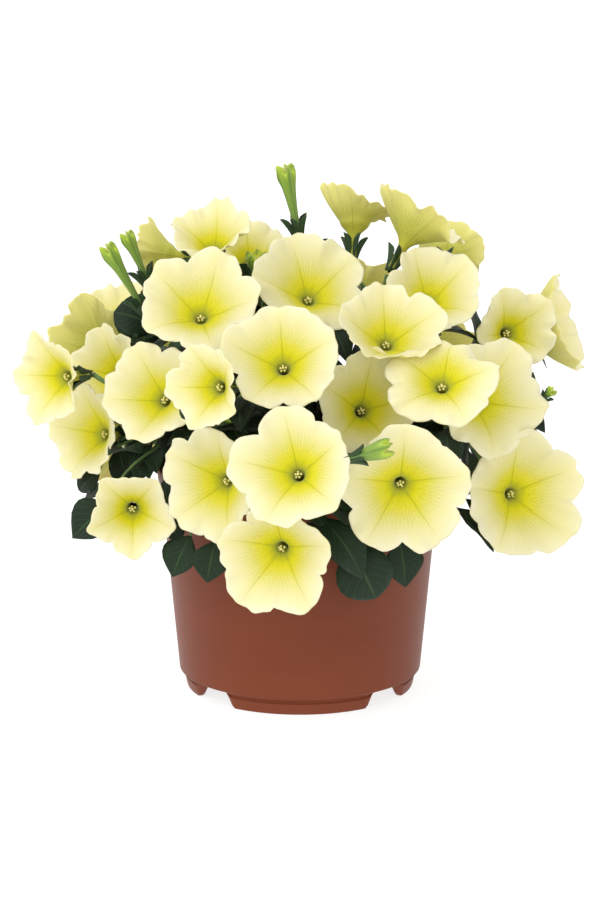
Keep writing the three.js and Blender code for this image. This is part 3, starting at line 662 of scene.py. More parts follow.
def bud_points(key):
    """Points of a bud's skin on a grid of rings, in its own frame."""
    *_, length, diameter = BUDS[key]
    line = smooth_line(OPENING_BUD if key in HALF_OPEN else CLOSED_BUD, 22)
    rise, share = np.clip(line[:, 0], 0, 1.02)[:, None], line[:, 1][:, None]
    angle = np.radians(np.arange(0, 360, 6))[None, :]
    wound = LOBES * angle - rise * (5.0 if key in HALF_OPEN else 3.5)
    depth = (0.24 if key in HALF_OPEN else 0.30) * smooth_step(rise / 0.6)
    fold = 1 + depth * (np.abs(np.sin(wound / 2)) - 0.6)
    r = share * diameter / 2 * fold
    ragged = 0.07 * length * np.sin(wound) * smooth_step((rise - 0.7) / 0.3)
    height = rise * length * GROWN.get(key, 1.0) + ragged
    return np.stack([r * np.sin(angle), r * np.cos(angle), height], axis=-1)


def closed_skin(name, points, place, direction, material):
    """A grid of rings with a cap at each end. v runs from 0 at the foot to 1 at the tip."""
    rings, cut, _ = points.shape
    verts = points.reshape(-1, 3) @ basis_along(direction) + np.asarray(place)
    faces, corners = [], []
    for i in range(rings - 1):
        for j in range(cut):
            k = (j + 1) % cut
            faces.append([i * cut + k, i * cut + j, (i + 1) * cut + j, (i + 1) * cut + k])
            u, next_u = LOBES * j / cut, LOBES * (j + 1) / cut
            v, next_v = i / (rings - 1), (i + 1) / (rings - 1)
            corners += [(next_u, v), (u, v), (u, next_v), (next_u, next_v)]
    faces.append(list(range(cut)))
    faces.append(list(range(rings * cut - 1, (rings - 1) * cut - 1, -1)))
    corners += [(0, 0)] * cut + [(0.5, 1)] * cut
    return mesh_object(name, verts, faces, material, corners)


for key in BUDS:
    number = key[1:].zfill(2)
    bud = closed_skin(f"petals_of_bud_{number}", bud_points(key), sunk_foot(key), feet[key][1], bud_skin)
    finish_piece(bud, "bud_petals", f"bud_{number}")
print("buds:", ", ".join(BUDS))

# %% [markdown]
# ## Stems and stalks
#
# Stems follow paths, so they are curves first: each one leaves the soil upright and leans out
# to its tip, and each flower's stalk leaves the stem outward and comes in behind the flower.
# A geometry tree sweeps a small circle along every path. Modelling tubes by hand would lose the
# paths, which the leaves need too. The numbers here are those of the CAD source.

# %% Paths, by the same rule as the CAD
POT_HEIGHT, RIM_ROOM, RIM_RISE = 112, 20, 0.6
STEM_FOOT_Z = 104.6
STEM_STEPS, STALK_STEPS = 5, 3
CALYX_DEPTH = 4


def outward_of(place):
    """The level way from the pot's axis to a place."""
    return unit(np.array((place[0], place[1], 0.0)))


def bezier(controls, t):
    """Point and direction on a Bezier curve at share t."""
    p = [np.asarray(c, dtype=float) for c in controls]
    while len(p) > 2:
        p = [a + (b - a) * t for a, b in zip(p, p[1:])]
    return p[0] + (p[1] - p[0]) * t, unit(p[1] - p[0])


def bezier_length(controls, steps=60):
    line = np.array([bezier(controls, t)[0] for t in np.linspace(0, 1, steps + 1)])
    return np.linalg.norm(np.diff(line, axis=0), axis=1).sum()


def main_stem(foot, tip):
    root = np.array((*foot, STEM_FOOT_Z))
    above = np.array((*foot, STEM_FOOT_Z + 0.55 * (tip[2] - STEM_FOOT_Z)))
    return root, above, np.array(tip, dtype=float)


def rise_over_rim(end):
    return RIM_RISE * max(0.0, POT_HEIGHT + RIM_ROOM - end[2])


def stalk_path(stem, share, via, foot, direction):
    start, leaving = bezier(stem, share)
    end = foot - CALYX_DEPTH * direction
    if via is not None:
        corner = np.array(via, dtype=float)
        return start, start + (corner - start) * 2 / 3, end + (corner - end) * 2 / 3, end
    rise = rise_over_rim(end)
    reach = np.linalg.norm(end - start)
    leaving = unit(leaving + outward_of(end))
    arriving = 2 if rise > 0 else 0.3 * reach
    return (
        start, start + 0.4 * reach * leaving + rise * UP,
        end - arriving * direction + rise * UP, end,
    )


stems, stalks = {}, {}
for name, (foot, tip, carries, _) in SHOOTS.items():
    stems[name] = main_stem(foot, tip)
    stalks[name] = {}
    for key, way in carries.items():
        share, via = way if isinstance(way, tuple) else (way, None)
        stalks[name][key] = stalk_path(stems[name], share, via, *feet[key])
print("stalks:", sum(len(s) for s in stalks.values()))

# %% [markdown]
# ## Leaves: where they grow
#
# Every leaf of the CAD model is found again by its rule. Leaves turn round a stem by the golden
# angle, 137.5 degrees, and each one took the first of six turns that left room. The packed
# shoot tells which: one of its corners lies at the leaf's tip. A small leaf that would lie
# before a flower or stick out above the plant is left off, because the photograph shows none
# there. More and smaller leaves then fill the inside, where the photograph is dark with
# foliage. Scattering leaves freely would be quicker, but some would then cut through petals.

# %% Leaves of the CAD model
PETIOLE, LEAF_SHARE = 5, 0.6


def leaf_pose(start, axis, length, turn):
    """Base, tip, width and upper side of a leaf that grows from a place on a stalk."""
    guide = outward_of(start) if abs(axis[2]) > 0.9 else UP
    side = square_to(guide, axis)
    a = math.radians(turn)
    side = side * math.cos(a) + np.cross(axis, side) * math.sin(a)
    out = outward_of(start)
    along = unit(side + 0.35 * axis + 0.45 * out)
    base = start + PETIOLE * along
    return base, base + length * along, LEAF_SHARE * length, np.array((0.5 * out[0], 0.5 * out[1], 1.0))


def tree_of(pieces):
    """A search tree of the pieces' faces, in millimetres."""
    verts, faces = [], []
    for piece in pieces:
        start = len(verts)
        verts += [tuple(v.co / MM) for v in piece.data.vertices]
        faces += [tuple(start + i for i in p.vertices) for p in piece.data.polygons]
    return BVHTree.FromPolygons(verts, faces)


petals_near = tree_of(flower_pieces.values())
LOWEST, HIGHEST = np.array(cad_box[0]) / MM, np.array(cad_box[1]) / MM
# A leaf hides a petal up to so many millimetres behind it. A bare tip has no petal beyond it:
# no small CAD leaf keeps one above the highest level, and no added leaf above the lowest
HIDING_DEPTH, LOWEST_BARE, HIGHEST_BARE = 45, 118, 196
# The way inward falls by the first, and the way outward starts from the height of the second
# and is followed for the third
LOOKED_DOWN, PLANT_CORE, BARE_REACH = 12, 100.0, 90
# Lengths of the CAD leaves and what lies between them, and how far a packed corner may be off
STEM_LEAF, STALK_LEAF, LEAF_SPACING, TIP_TOLERANCE = 33, 28, 14, 0.9


def hides_flower(base, tip):
    """True where a blade would lie before a petal, seen from outside the plant."""
    middle = 0.5 * (base + tip)
    inward = unit(np.array((0, 0, middle[2] - LOOKED_DOWN)) - middle)
    return petals_near.ray_cast(middle.tolist(), inward.tolist(), HIDING_DEPTH)[0] is not None


def is_bare(tip):
    """True where no petal lies beyond the tip of a blade, seen from the middle of the plant."""
    beyond = unit(tip - np.array((0, 0, PLANT_CORE)))
    return petals_near.ray_cast(tip.tolist(), beyond.tolist(), BARE_REACH)[0] is None


def node_points(node):
    """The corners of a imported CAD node, in millimetres."""
    mesh = frame["nodes"][node].data
    flat = np.empty(len(mesh.vertices) * 3, dtype=np.float32)
    mesh.vertices.foreach_get("co", flat)
    return flat.reshape(-1, 3) / MM


def placed_leaf(stem, share, base, tip, width, azimuth, elevation):
    """A leaf from a row of a table: where its petiole starts, base, tip, width and upper side."""
    start = bezier(stem, share)[0]
    return start, np.array(base, float), np.array(tip, float), width, facing(azimuth, elevation)


leaves = {}
for name, (_, _, _, free_leaves) in SHOOTS.items():
    here = node_points(f"shoot_{name}")
    grown = [placed_leaf(stems[name], *row) for row in free_leaves]
    places = [(*bezier(stems[name], share), STEM_LEAF) for share in (0.4, 0.6, 0.8, 0.95)]
    for path in stalks[name].values():
        count = min(STALK_STEPS - 1, round(bezier_length(path) / LEAF_SPACING))
        places += [(*bezier(path, (i + 1) / STALK_STEPS), STALK_LEAF - 2 * i) for i in range(count)]
    for k, (start, axis, length) in enumerate(places):
        for attempt in range(6):
            base, tip, width, normal = leaf_pose(start, axis, length, 137.5 * k + 60 * attempt)
            if np.linalg.norm(here - tip, axis=1).min() < TIP_TOLERANCE:
                out_of_place = hides_flower(base, tip) or (tip[2] > HIGHEST_BARE and is_bare(tip))
                if length == STEM_LEAF or not out_of_place:
                    grown.append((start, base, tip, width, normal))
                break
    leaves[name] = grown
print("leaves:", sum(len(grown) for grown in leaves.values()))

# %% More leaves inside
def blade_is_clear(base, tip, width, normal, room):
    """True where a blade keeps this far from every petal, hides no flower and stays in the box."""
    along = unit(tip - base)
    if hides_flower(base, tip) or tip[2] > HIGHEST_BARE or (tip[2] > LOWEST_BARE and is_bare(tip)):
        return False
    across = np.cross(along, square_to(normal, along))
    for share, half in ((0.0, 0.0), (0.3, 0.45), (0.65, 0.43), (1.0, 0.0)):
        for side in (-1, 0, 1):
            spot = base + share * (tip - base) + side * half * width * across
            if (spot < LOWEST).any() or (spot > HIGHEST).any():
                return False
            if petals_near.find_nearest(spot.tolist(), room)[0] is not None:
                return False
    return petals_near.ray_cast(base.tolist(), along.tolist(), float(np.linalg.norm(tip - base)))[0] is None


# A few more stand where gaps would show the pot's rim or the background: share of the stem at
# which the petiole leaves, base, tip, width, and where the upper side looks
GAP_LEAVES = {
    "front_left": [
        (0.5, (-62, -47, 101), (-57, -51, 83), 13, -20, 15),
        (0.6, (-64, -50, 116), (-61, -53, 100), 12, -30, 20),
    ],
    "left": [
        (0.6, (-88, -16, 124), (-82, -24, 106), 14, -20, 20),
        (0.6, (-73, -26, 127), (-78, -34, 112), 13, -10, 25),
    ],
    "top": [(0.7, (15, -30, 187), (23, -40, 170), 13, 10, 35)],
}
# Tries at each place, distance of the places, room to the petals, and width against CAD leaves
FILL_TRIES, FILL_SPACING, FILL_ROOM, FILL_WIDTH = 11, 7, 2.3, 1.05
chance = np.random.default_rng(7)
added = 0
for name in SHOOTS:
    spots = [(stems[name], share) for share in np.linspace(0.25, 1.0, 12)]
    for path in stalks[name].values():
        spots += [(path, share) for share in np.arange(0.1, 0.98, FILL_SPACING / bezier_length(path))]
    for path, share in spots:
        start, axis = bezier(path, share)
        for _ in range(FILL_TRIES):
            length, turn = chance.uniform(16, 30), chance.uniform(0, 360)
            base, tip, width, normal = leaf_pose(start, axis, length, turn)
            width *= FILL_WIDTH
            if blade_is_clear(base, tip, width, normal, FILL_ROOM):
                leaves[name].append((start, base, tip, width, normal))
                added += 1
                break
for name, rows in GAP_LEAVES.items():
    leaves[name] += [placed_leaf(stems[name], *row) for row in rows]
    added += len(rows)
# One leaf that would hide flower 18 goes
CLEAR_SPOT, CLEAR_RADIUS = np.array((-97, -33, 164)), 5
for name, rows in leaves.items():
    middles = [0.5 * (base + tip) for _, base, tip, _, _ in rows]
    leaves[name] = [row for row, m in zip(rows, middles) if np.linalg.norm(m - CLEAR_SPOT) > CLEAR_RADIUS]
print("added leaves:", added)

# %% [markdown]
# ## Sweeping the stems
#
# The tree below has one profile circle of radius one metre. Each path point carries its real
# radius, and the sweep scales the circle by it. Stems are pale green and finely hairy: the
# hairs are too fine to draw, so the finish has sheen instead.

# %% Stem tree
def new_tree(name, *inputs):
    """A geometry tree with named inputs, and the node that gives them."""
    tree = bpy.data.node_groups.new(name, "GeometryNodeTree")
    for label, kind in (("Geometry", "Geometry"), *inputs):
        tree.interface.new_socket(label, in_out="INPUT", socket_type=f"NodeSocket{kind}")
    tree.interface.new_socket("Geometry", in_out="OUTPUT", socket_type="NodeSocketGeometry")
    return tree, add_node(tree, "NodeGroupInput")


def end_tree(tree, geometry, material):
    """Ends a tree: copies made real, smooth shading and the finish."""
    real = add_node(tree, "GeometryNodeRealizeInstances", {"Geometry": geometry})
    smooth = add_node(tree, "GeometryNodeSetShadeSmooth", {"Geometry": real})
    dressed = add_node(tree, "GeometryNodeSetMaterial", {"Geometry": smooth, "Material": material})
    add_node(tree, "NodeGroupOutput", {0: dressed})


sweep, given = new_tree("Sweep a tube along paths", ("Sides", "Int"), ("Finish", "Material"))
circle = add_node(sweep, "GeometryNodeCurvePrimitiveCircle", {
    "Resolution": given.outputs["Sides"], "Radius": 1.0,
})
tube = add_node(sweep, "GeometryNodeCurveToMesh", {
    "Curve": given.outputs["Geometry"], "Profile Curve": circle, "Fill Caps": True,
    "Scale": add_node(sweep, "GeometryNodeInputRadius"),
})
end_tree(sweep, tube, given.outputs["Finish"])
print("sweep tree:", len(sweep.nodes), "nodes")

# %% Stem finish
stem_skin, tree, stem_shader = new_finish("Hairy petunia stem")
place = add_node(tree, "ShaderNodeTexCoord").outputs["Object"]
# Pale and dark green in patches of about 6 mm
mottle = add_node(tree, NOISE, {"Vector": place, "Scale": 160.0, "Detail": 2.0})
stem_colour = add_node(tree, RAMP, {0: mottle}, stops=[(0.35, "#3f5f2c"), (0.65, "#6a8a45")])
set_inputs(tree, stem_shader, {
    "Base Color": stem_colour, "Roughness": 0.6, "Sheen Weight": 0.4, "Sheen Roughness": 0.4,
})
print("stem material:", len(tree.nodes), "nodes")

# %% Stems, stalks and petioles
# Radius of a stem at its foot and how much it loses to its tip; of a stalk, and how much it
# gains behind the flower; and of a petiole
STEM, STEM_TAPER, STALK, STALK_FLARE, PETIOLE_RADIUS = 2.0, 0.7, 0.95, 0.35, 0.65
LONG_PETIOLE = 20


def path_object(name, paths):
    """A curve object of straight-sided paths, each a list of (point, radius) in millimetres."""
    data = bpy.data.curves.new(name, "CURVE")
    data.dimensions = "3D"
    for path in paths:
        spline = data.splines.new("POLY")
        spline.points.add(len(path) - 1)
        for spot, (point, radius) in zip(spline.points, path):
            spot.co = (*(np.asarray(point) * MM), 1)
            spot.radius = radius * MM
    piece = bpy.data.objects.new(name, data)
    scene.collection.objects.link(piece)
    return piece


def petiole_path(start, base, tip, radius):
    """A leaf's own stalk, bent as the CAD bends it: up over the rim where the leaf hangs low."""
    along = unit(tip - base)
    reach = np.linalg.norm(base - start)
    rise = rise_over_rim(base) if reach > LONG_PETIOLE else 0
    arriving = 2 if rise > 0 else 0.3 * reach
    controls = (
        start, start + (base - start) * 0.5 + (0.1 * reach + rise) * UP,
        base - arriving * along + rise * UP, base,
    )
    steps = 12 if reach > LONG_PETIOLE else 4
    return [(bezier(controls, t)[0], radius) for t in np.linspace(0, 1, steps)]


def run_tree(name, source, tree, values):
    """Runs a geometry tree on an object, and keeps the result as a plain mesh."""
    modifier = source.modifiers.new("Tree", "NODES")
    modifier.node_group = tree
    for item in tree.interface.items_tree:
        if item.item_type == "SOCKET" and item.in_out == "INPUT" and item.name in values:
            modifier[item.identifier] = values[item.name]
    bpy.context.view_layer.update()
    evaluated = source.evaluated_get(bpy.context.evaluated_depsgraph_get())
    mesh = bpy.data.meshes.new_from_object(evaluated)
    source.modifiers.clear()
    bpy.data.objects.remove(source)
    mesh.name = name
    piece = bpy.data.objects.new(name, mesh)
    scene.collection.objects.link(piece)
    return piece


triangles = 0
for name in SHOOTS:
    stem = stems[name]
    paths = [[(bezier(stem, t)[0], STEM - STEM_TAPER * t) for t in np.linspace(0, 1, 16)]]
    for path in stalks[name].values():
        paths.append([(bezier(path, t)[0], STALK + STALK_FLARE * t**4) for t in np.linspace(0, 1, 18)])
    paths += [petiole_path(start, base, tip, PETIOLE_RADIUS) for start, base, tip, _, _ in leaves[name]]
    source = path_object(f"paths_{name}", paths)
    piece = run_tree(f"stems_{name}", source, sweep, {"Sides": 8, "Finish": stem_skin})
    finish_piece(piece, "foliage", f"shoot_{name}")
    triangles += sum(len(p.vertices) - 2 for p in piece.data.polygons)
print("stem triangles:", triangles)

# %% [markdown]
# ## Leaf finish
#
# Petunia leaves are soft, dark green and covered in fine hairs. The upper side shows a sunken
# pale midrib and a few side veins that curve towards the tip; the lower side is lighter and
# duller. The leaf's UV map runs across the blade (u) and from base to tip (v). Each leaf gets
# its own tone from a number that is stored on it, because no two leaves are equally old. The
# same number carries painted shade: leaves deep inside are painted nearly black, and those that
# hang free in the light brighter.

# %% Leaf finish: colour and veins
leaf_skin, tree, _ = new_finish("Petunia leaf")
tree.nodes.clear()
split = add_node(tree, AXES, {0: add_node(tree, "ShaderNodeUVMap", uv_map="UVMap")})
tone_and_painted_shade = add_node(tree, "ShaderNodeAttribute", attribute_name="tone_and_painted_shade").outputs["Fac"]
# Painted shade: the near-black end of the ramp is for leaves deep inside the plant, the bright end for those
# in the light
blade_colour = add_node(tree, RAMP, {0: tone_and_painted_shade}, stops=[
    (0.0, "#101912"), (0.45, "#1a2a1a"), (0.8, "#263f24"), (1.0, "#3a6230"),
]).outputs[0]
across_blade = add_node(tree, MATH, {0: split, 1: 0.5}, operation="SUBTRACT")
from_midrib = add_node(tree, MATH, {0: across_blade}, operation="ABSOLUTE")
midrib = add_node(tree, MAP_RANGE, {0: from_midrib, 1: 0.035, 2: 0.0})
# Side veins: seven pairs, leaning forward
level = add_node(tree, MATH, {0: split.outputs[1], 1: 7.0}, operation="MULTIPLY")
slope = add_node(tree, MATH, {0: from_midrib, 1: 5.0}, operation="MULTIPLY")
ladder = add_node(tree, MATH, {0: level, 1: slope}, operation="SUBTRACT")
side_vein = add_node(tree, MAP_RANGE, {0: off_centre(tree, ladder), 1: 0.10, 2: 0.0})
fainter = add_node(tree, MATH, {0: side_vein, 1: 0.3}, operation="MULTIPLY")
leaf_lines = add_node(tree, MATH, {0: midrib, 1: fainter}, operation="MAXIMUM")
line_share = add_node(tree, MATH, {0: leaf_lines, 1: 0.35}, operation="MULTIPLY")
leaf_back = add_node(tree, "ShaderNodeAttribute", attribute_name="back").outputs["Fac"]
back_share = add_node(tree, MATH, {0: leaf_back, 1: 0.5}, operation="MULTIPLY")
for share, tint in ((line_share, "#5d7d4c"), (back_share, "#48643f")):
    blade_colour = add_node(tree, MIX, {0: share, 6: blade_colour, 7: tint}, data_type="RGBA").outputs[2]
print("leaf colour:", len(tree.nodes), "nodes")

# %% Leaf finish: relief and the light through the blade
leaf_place = add_node(tree, "ShaderNodeTexCoord").outputs["Object"]
# Puckers of about 1.4 mm between the veins
cells = add_node(tree, NOISE, {"Vector": leaf_place, "Scale": 700.0, "Detail": 2.0})
pucker = add_node(tree, MATH, {0: cells, 1: 0.5}, operation="MULTIPLY")
relief = add_node(tree, MATH, {0: pucker, 1: leaf_lines}, operation="SUBTRACT")
bump = add_node(tree, "ShaderNodeBump", {"Height": relief, "Strength": 0.5, "Distance": 0.0005})
surface = add_node(tree, "ShaderNodeBsdfPrincipled", {
    "Base Color": blade_colour, "Roughness": 0.5, "IOR": 1.42, "Specular IOR Level": 0.25,
    "Sheen Weight": 0.08, "Sheen Roughness": 0.5, "Normal": bump,
})
glow = add_node(tree, MIX, {0: 0.5, 6: blade_colour, 7: "#6b9a2c"}, data_type="RGBA")
through = add_node(tree, "ShaderNodeBsdfTranslucent", {"Color": glow.outputs[2]})
both = add_node(tree, "ShaderNodeMixShader", {0: 0.12, 1: surface, 2: through})
add_node(tree, "ShaderNodeOutputMaterial", {"Surface": both})
print("leaf material:", len(tree.nodes), "nodes")

# %% [markdown]
# ## Leaf shapes and the tree that places them
#
# Leaves repeat, so a few unit leaves are made once and a geometry tree sets a copy on each
# point. A point carries the way the leaf runs, the way its upper side looks, its size, which
# shape it takes and its tone with painted shade. Instances keep the work light; they are made
# real at the end, so that the result is a plain mesh.

# %% Unit leaves
# Share of the length and half the width there
POINTED = [
    (0, 0.03), (0.12, 0.22), (0.3, 0.45), (0.46, 0.5), (0.64, 0.41), (0.82, 0.23), (0.94, 0.08), (1, 0.0),
]
ROUND = [
    (0, 0.03), (0.12, 0.2), (0.3, 0.41), (0.52, 0.5), (0.72, 0.45), (0.88, 0.29), (0.96, 0.14), (1, 0.0),
]
LEAF_THICKNESS, LEAF_ROWS, LEAF_COLUMNS = 0.016, 10, 6


def blade_shape(name, rows, columns, outline, arch, fold, sag, wave, twist, thickness, seed):
    """A blade one unit long and wide: along +Y, upper side +Z, closed by a thinner edge."""
    chance = np.random.default_rng(seed)
    line = smooth_line(outline, rows + 1)
    along, half = np.clip(line[:, 0], 0, 1)[:, None], np.maximum(line[:, 1], 0.0)[:, None]
    half[-1] = 0.004
    side = np.linspace(-1, 1, columns + 1)[None, :]
    x = side * half
    phase = chance.uniform(0, 6.28, 2)
    z = arch * np.sin(math.pi * along) + fold * 0.6 * np.abs(x) - sag * along**3
    z = z + wave * side**2 * np.sin(along * 11 + phase[0] + side * 1.5) * np.sqrt(half * 2)
    z = z + twist * x * (along - 0.3)
    y = along + 0 * side
    edge = 1 - 0.8 * side**2
    top = np.stack([x, y, z + thickness * edge * 0.5], axis=-1)
    low = np.stack([x, y, z - thickness * edge * 0.5], axis=-1)
    count = columns + 1
    verts = np.vstack([top.reshape(-1, 3), low.reshape(-1, 3)])
    below = (rows + 1) * count
    faces, corners = [], []
    for i in range(rows):
        for j in range(columns):
            quad = [(i, j), (i, j + 1), (i + 1, j + 1), (i + 1, j)]
            ids = [a * count + b for a, b in quad]
            pairs = [(b / columns, line[a, 0]) for a, b in quad]
            faces.append(ids)
            corners += pairs
            faces.append([below + n for n in reversed(ids)])
            corners += list(reversed(pairs))
    loop = [(0, j) for j in range(columns)] + [(i, columns) for i in range(rows)]
    loop += [(rows, j) for j in range(columns, 0, -1)] + [(i, 0) for i in range(rows, 0, -1)]
    for (a, b), (c, d) in zip(loop, loop[1:] + loop[:1]):
        p, q = a * count + b, c * count + d
        faces.append([q, p, below + p, below + q])
        near, far = (b / columns, a / rows), (d / columns, c / rows)
        corners += [far, near, near, far]
    back = np.repeat([0.0, 1.0], below)
    return mesh_object(name, verts / MM, faces, None, corners, {"back": back})


def shape_set(name, shapes):
    """Moves unit shapes to a collection of their own, in the order of their names."""
    folder = bpy.data.collections.new(name)
    scene.collection.children.link(folder)
    for shape in shapes:
        scene.collection.objects.unlink(shape)
        folder.objects.link(shape)
    return folder


LEAF_HABITS = [
    # arch, fold, sag, wave, twist
    (0.10, 0.30, 0.00, 0.020, 0.10), (0.14, 0.22, 0.06, 0.030, -0.15), (0.08, 0.40, 0.02, 0.025, 0.20),
    (0.16, 0.15, 0.10, 0.015, 0.00), (0.06, 0.25, -0.04, 0.035, -0.10), (0.12, 0.35, 0.08, 0.040, 0.15),
]
leaf_shapes = shape_set("Leaf shapes", [
    blade_shape(f"leaf_shape_{i}", LEAF_ROWS, LEAF_COLUMNS, POINTED if i < 3 else ROUND,
                *habit, LEAF_THICKNESS, seed=40 + i)
    for i, habit in enumerate(LEAF_HABITS)
])

# %% Tree: a copy of a shape on each point
place_copies, given = new_tree("Set copies on points", ("Shapes", "Collection"), ("Finish", "Material"))


def stored(tree, name, kind):
    """What each point carries under this name."""
    return add_node(tree, "GeometryNodeInputNamedAttribute", {"Name": name}, data_type=kind).outputs[0]


unit_shapes = add_node(place_copies, "GeometryNodeCollectionInfo", {
    "Collection": given.outputs["Shapes"], "Separate Children": True, "Reset Children": True,
})
turned = add_node(place_copies, "FunctionNodeAxesToRotation", {
    "Primary Axis": stored(place_copies, "along", "FLOAT_VECTOR"),
    "Secondary Axis": stored(place_copies, "upper", "FLOAT_VECTOR"),
}, primary_axis="Y", secondary_axis="Z")
copies = add_node(place_copies, "GeometryNodeInstanceOnPoints", {
    "Points": given.outputs["Geometry"], "Instance": unit_shapes, "Pick Instance": True,
    "Instance Index": stored(place_copies, "kind", "INT"), "Rotation": turned,
    "Scale": stored(place_copies, "size", "FLOAT_VECTOR"),
})
end_tree(place_copies, copies, given.outputs["Finish"])
print("copying tree:", len(place_copies.nodes), "nodes")


def points_object(name, points, along, upper, size, kind, tone_and_painted_shade):
    """Points in millimetres that carry what the tree needs for each copy."""
    mesh = bpy.data.meshes.new(name)
    mesh.from_pydata((np.asarray(points) * MM).tolist(), [], [])
    for key, values in (("along", along), ("upper", upper), ("size", np.asarray(size) * MM)):
        mesh.attributes.new(key, "FLOAT_VECTOR", "POINT").data.foreach_set(
            "vector", np.asarray(values, dtype=np.float32).ravel())
    for key, values, form, dtype in (("kind", kind, "INT", np.int32), ("tone_and_painted_shade", tone_and_painted_shade, "FLOAT", np.float32)):
        mesh.attributes.new(key, form, "POINT").data.foreach_set("value", np.asarray(values, dtype=dtype))
    piece = bpy.data.objects.new(name, mesh)
    scene.collection.objects.link(piece)
    return piece


# %% Leaves of each shoot
chance = np.random.default_rng(11)
counted = 0
for name, (_, _, _, free_leaves) in SHOOTS.items():
    rows = leaves[name]
    along = [unit(tip - base) for _, base, tip, _, _ in rows]
    length = np.array([np.linalg.norm(tip - base) for _, base, tip, _, _ in rows])
    width = np.array([row[3] for row in rows])
    # Painted light and shade: leaves that hang free in the light are painted brighter than those deep inside
    far_out = np.array([np.hypot(tip[0], tip[1]) for _, _, tip, _, _ in rows])
    tone_and_painted_shade = np.clip(0.15 + 0.35 * far_out / 100 + chance.normal(0, 0.14, len(rows)), 0, 1)
    tone_and_painted_shade[:len(free_leaves)] = np.clip(0.5 + chance.normal(0, 0.06, len(free_leaves)), 0, 1)
    # Narrow leaves are pointed and broad ones are round
    narrowest = chance.uniform(0.5, 0.85, len(rows))
    narrowest[:len(free_leaves)] = 0.88
    narrow = width / length < narrowest
    kind = chance.integers(0, 3, len(rows)) + np.where(narrow, 0, 3)
    source = points_object(
        f"points_{name}", [row[1] for row in rows], along,
        [square_to(row[4], a) for row, a in zip(rows, along)],
        np.stack([width, length, length], axis=1), kind, tone_and_painted_shade,
    )
    piece = run_tree(f"leaves_{name}", source, place_copies, {"Shapes": leaf_shapes, "Finish": leaf_skin})
    finish_piece(piece, "foliage", f"shoot_{name}")
    counted += len(rows)
print("leaves in all:", counted)

# %% [markdown]
# ## Green cups behind the flowers
#
# Behind every flower and bud a short green cup splits into five narrow sepals. Five copies of
# one sepal round a ring make the cup, and the same tree as for the leaves then sets a cup on
# the foot of each flower. Drawing each sepal alone would give no more.

# %% Sepals
SEPAL_OUTLINE = [(0, 0.36), (0.2, 0.40), (0.45, 0.34), (0.7, 0.42), (0.88, 0.3), (1, 0.0)]
sepal = blade_shape("sepal", 8, 4, SEPAL_OUTLINE, 0.07, 0.7, -0.06, 0.02, 0.0, 0.05, 3)
SEPALS, SEPAL_LENGTH, SEPAL_WIDTH, CUP_RADIUS, CUP_FOOT, LEAN = 5, 14.0, 3.4, 2.2, -2.4, math.radians(24)
ring = [math.radians(72 * i + 36) for i in range(SEPALS)]
cup_points = [(CUP_RADIUS * math.sin(a), CUP_FOOT, CUP_RADIUS * math.cos(a)) for a in ring]
cup_out = [np.array((math.sin(a), 0, math.cos(a))) for a in ring]
cup_along = [math.cos(LEAN) * np.array((0, 1, 0)) + math.sin(LEAN) * out for out in cup_out]
cup_upper = [square_to(-out, way) for out, way in zip(cup_out, cup_along)]
source = points_object("points_cup", cup_points, cup_along, cup_upper,
                       [(SEPAL_WIDTH, SEPAL_LENGTH, SEPAL_LENGTH)] * SEPALS, [0] * SEPALS, [0.5] * SEPALS)
cup = run_tree("cup_of_sepals", source, place_copies,
               {"Shapes": shape_set("Sepal", [sepal]), "Finish": leaf_skin})
cups = shape_set("Cup shape", [cup])
# Buds have smaller cups than flowers
CUP_SIZE = {"B4": 0.75, "B5": 0.75, "B6": 0.55, "B7": 0.75}
for name, (_, _, carries, _) in SHOOTS.items():
    keys = list(carries)
    ways = [feet[key][1] for key in keys]
    scale = [CUP_SIZE.get(key, 1.0) for key in keys]
    source = points_object(
        f"points_cups_{name}", [sunk_foot(key) for key in keys], ways, [square_to(UP, w) for w in ways],
        np.stack([scale, scale, scale], axis=1) / MM, [0] * len(keys),
        np.clip(0.6 + chance.normal(0, 0.1, len(keys)), 0, 1),
    )
    piece = run_tree(f"sepals_{name}", source, place_copies, {"Shapes": cups, "Finish": leaf_skin})
    finish_piece(piece, "foliage", f"shoot_{name}")
print("cups of five sepals:", len(feet))

# %% [markdown]
# ## Anthers and stigma
#
# Deep in each throat five pale yellow anthers stand round a greenish stigma. They are a
# millimetre or two long, but the eye finds them at once, because they are the only bright
# thing in the dark throat. One cluster is made and set into every flower.

# %% Stamens
pollen, tree, pollen_shader = new_finish("Petunia anthers with pollen")
grain_place = add_node(tree, "ShaderNodeTexCoord").outputs["Object"]
# Pollen is finer than this, but grains of a third of a millimetre are the finest that show
grains = add_node(tree, NOISE, {"Vector": grain_place, "Scale": 3000.0, "Detail": 1.0})
pollen_colour = add_node(tree, RAMP, {0: grains}, stops=[(0.3, "#cfc46a"), (0.7, "#efe7a2")])
set_inputs(tree, pollen_shader, {"Base Color": pollen_colour, "Roughness": 0.8})


def small_egg(centre, radius, stretch, segments=8, rings=6):
    """Points and faces of a small closed egg that stands along +Y."""
    verts, faces = [(centre[0], centre[1] - radius * stretch, centre[2])], []
    for i in range(1, rings):
        polar = math.pi * i / rings
        for j in range(segments):
            a = 2 * math.pi * j / segments
            verts.append((centre[0] + radius * math.sin(polar) * math.cos(a),
                          centre[1] - radius * stretch * math.cos(polar),
                          centre[2] + radius * math.sin(polar) * math.sin(a)))
    verts.append((centre[0], centre[1] + radius * stretch, centre[2]))
    last = len(verts) - 1
    for j in range(segments):
        k = (j + 1) % segments
        faces.append([0, 1 + j, 1 + k])
        for i in range(rings - 2):
            a, b = 1 + i * segments, 1 + (i + 1) * segments
            faces.append([a + j, b + j, b + k, a + k])
        top = 1 + (rings - 2) * segments
        faces.append([top + j, last, top + k])
    return verts, faces


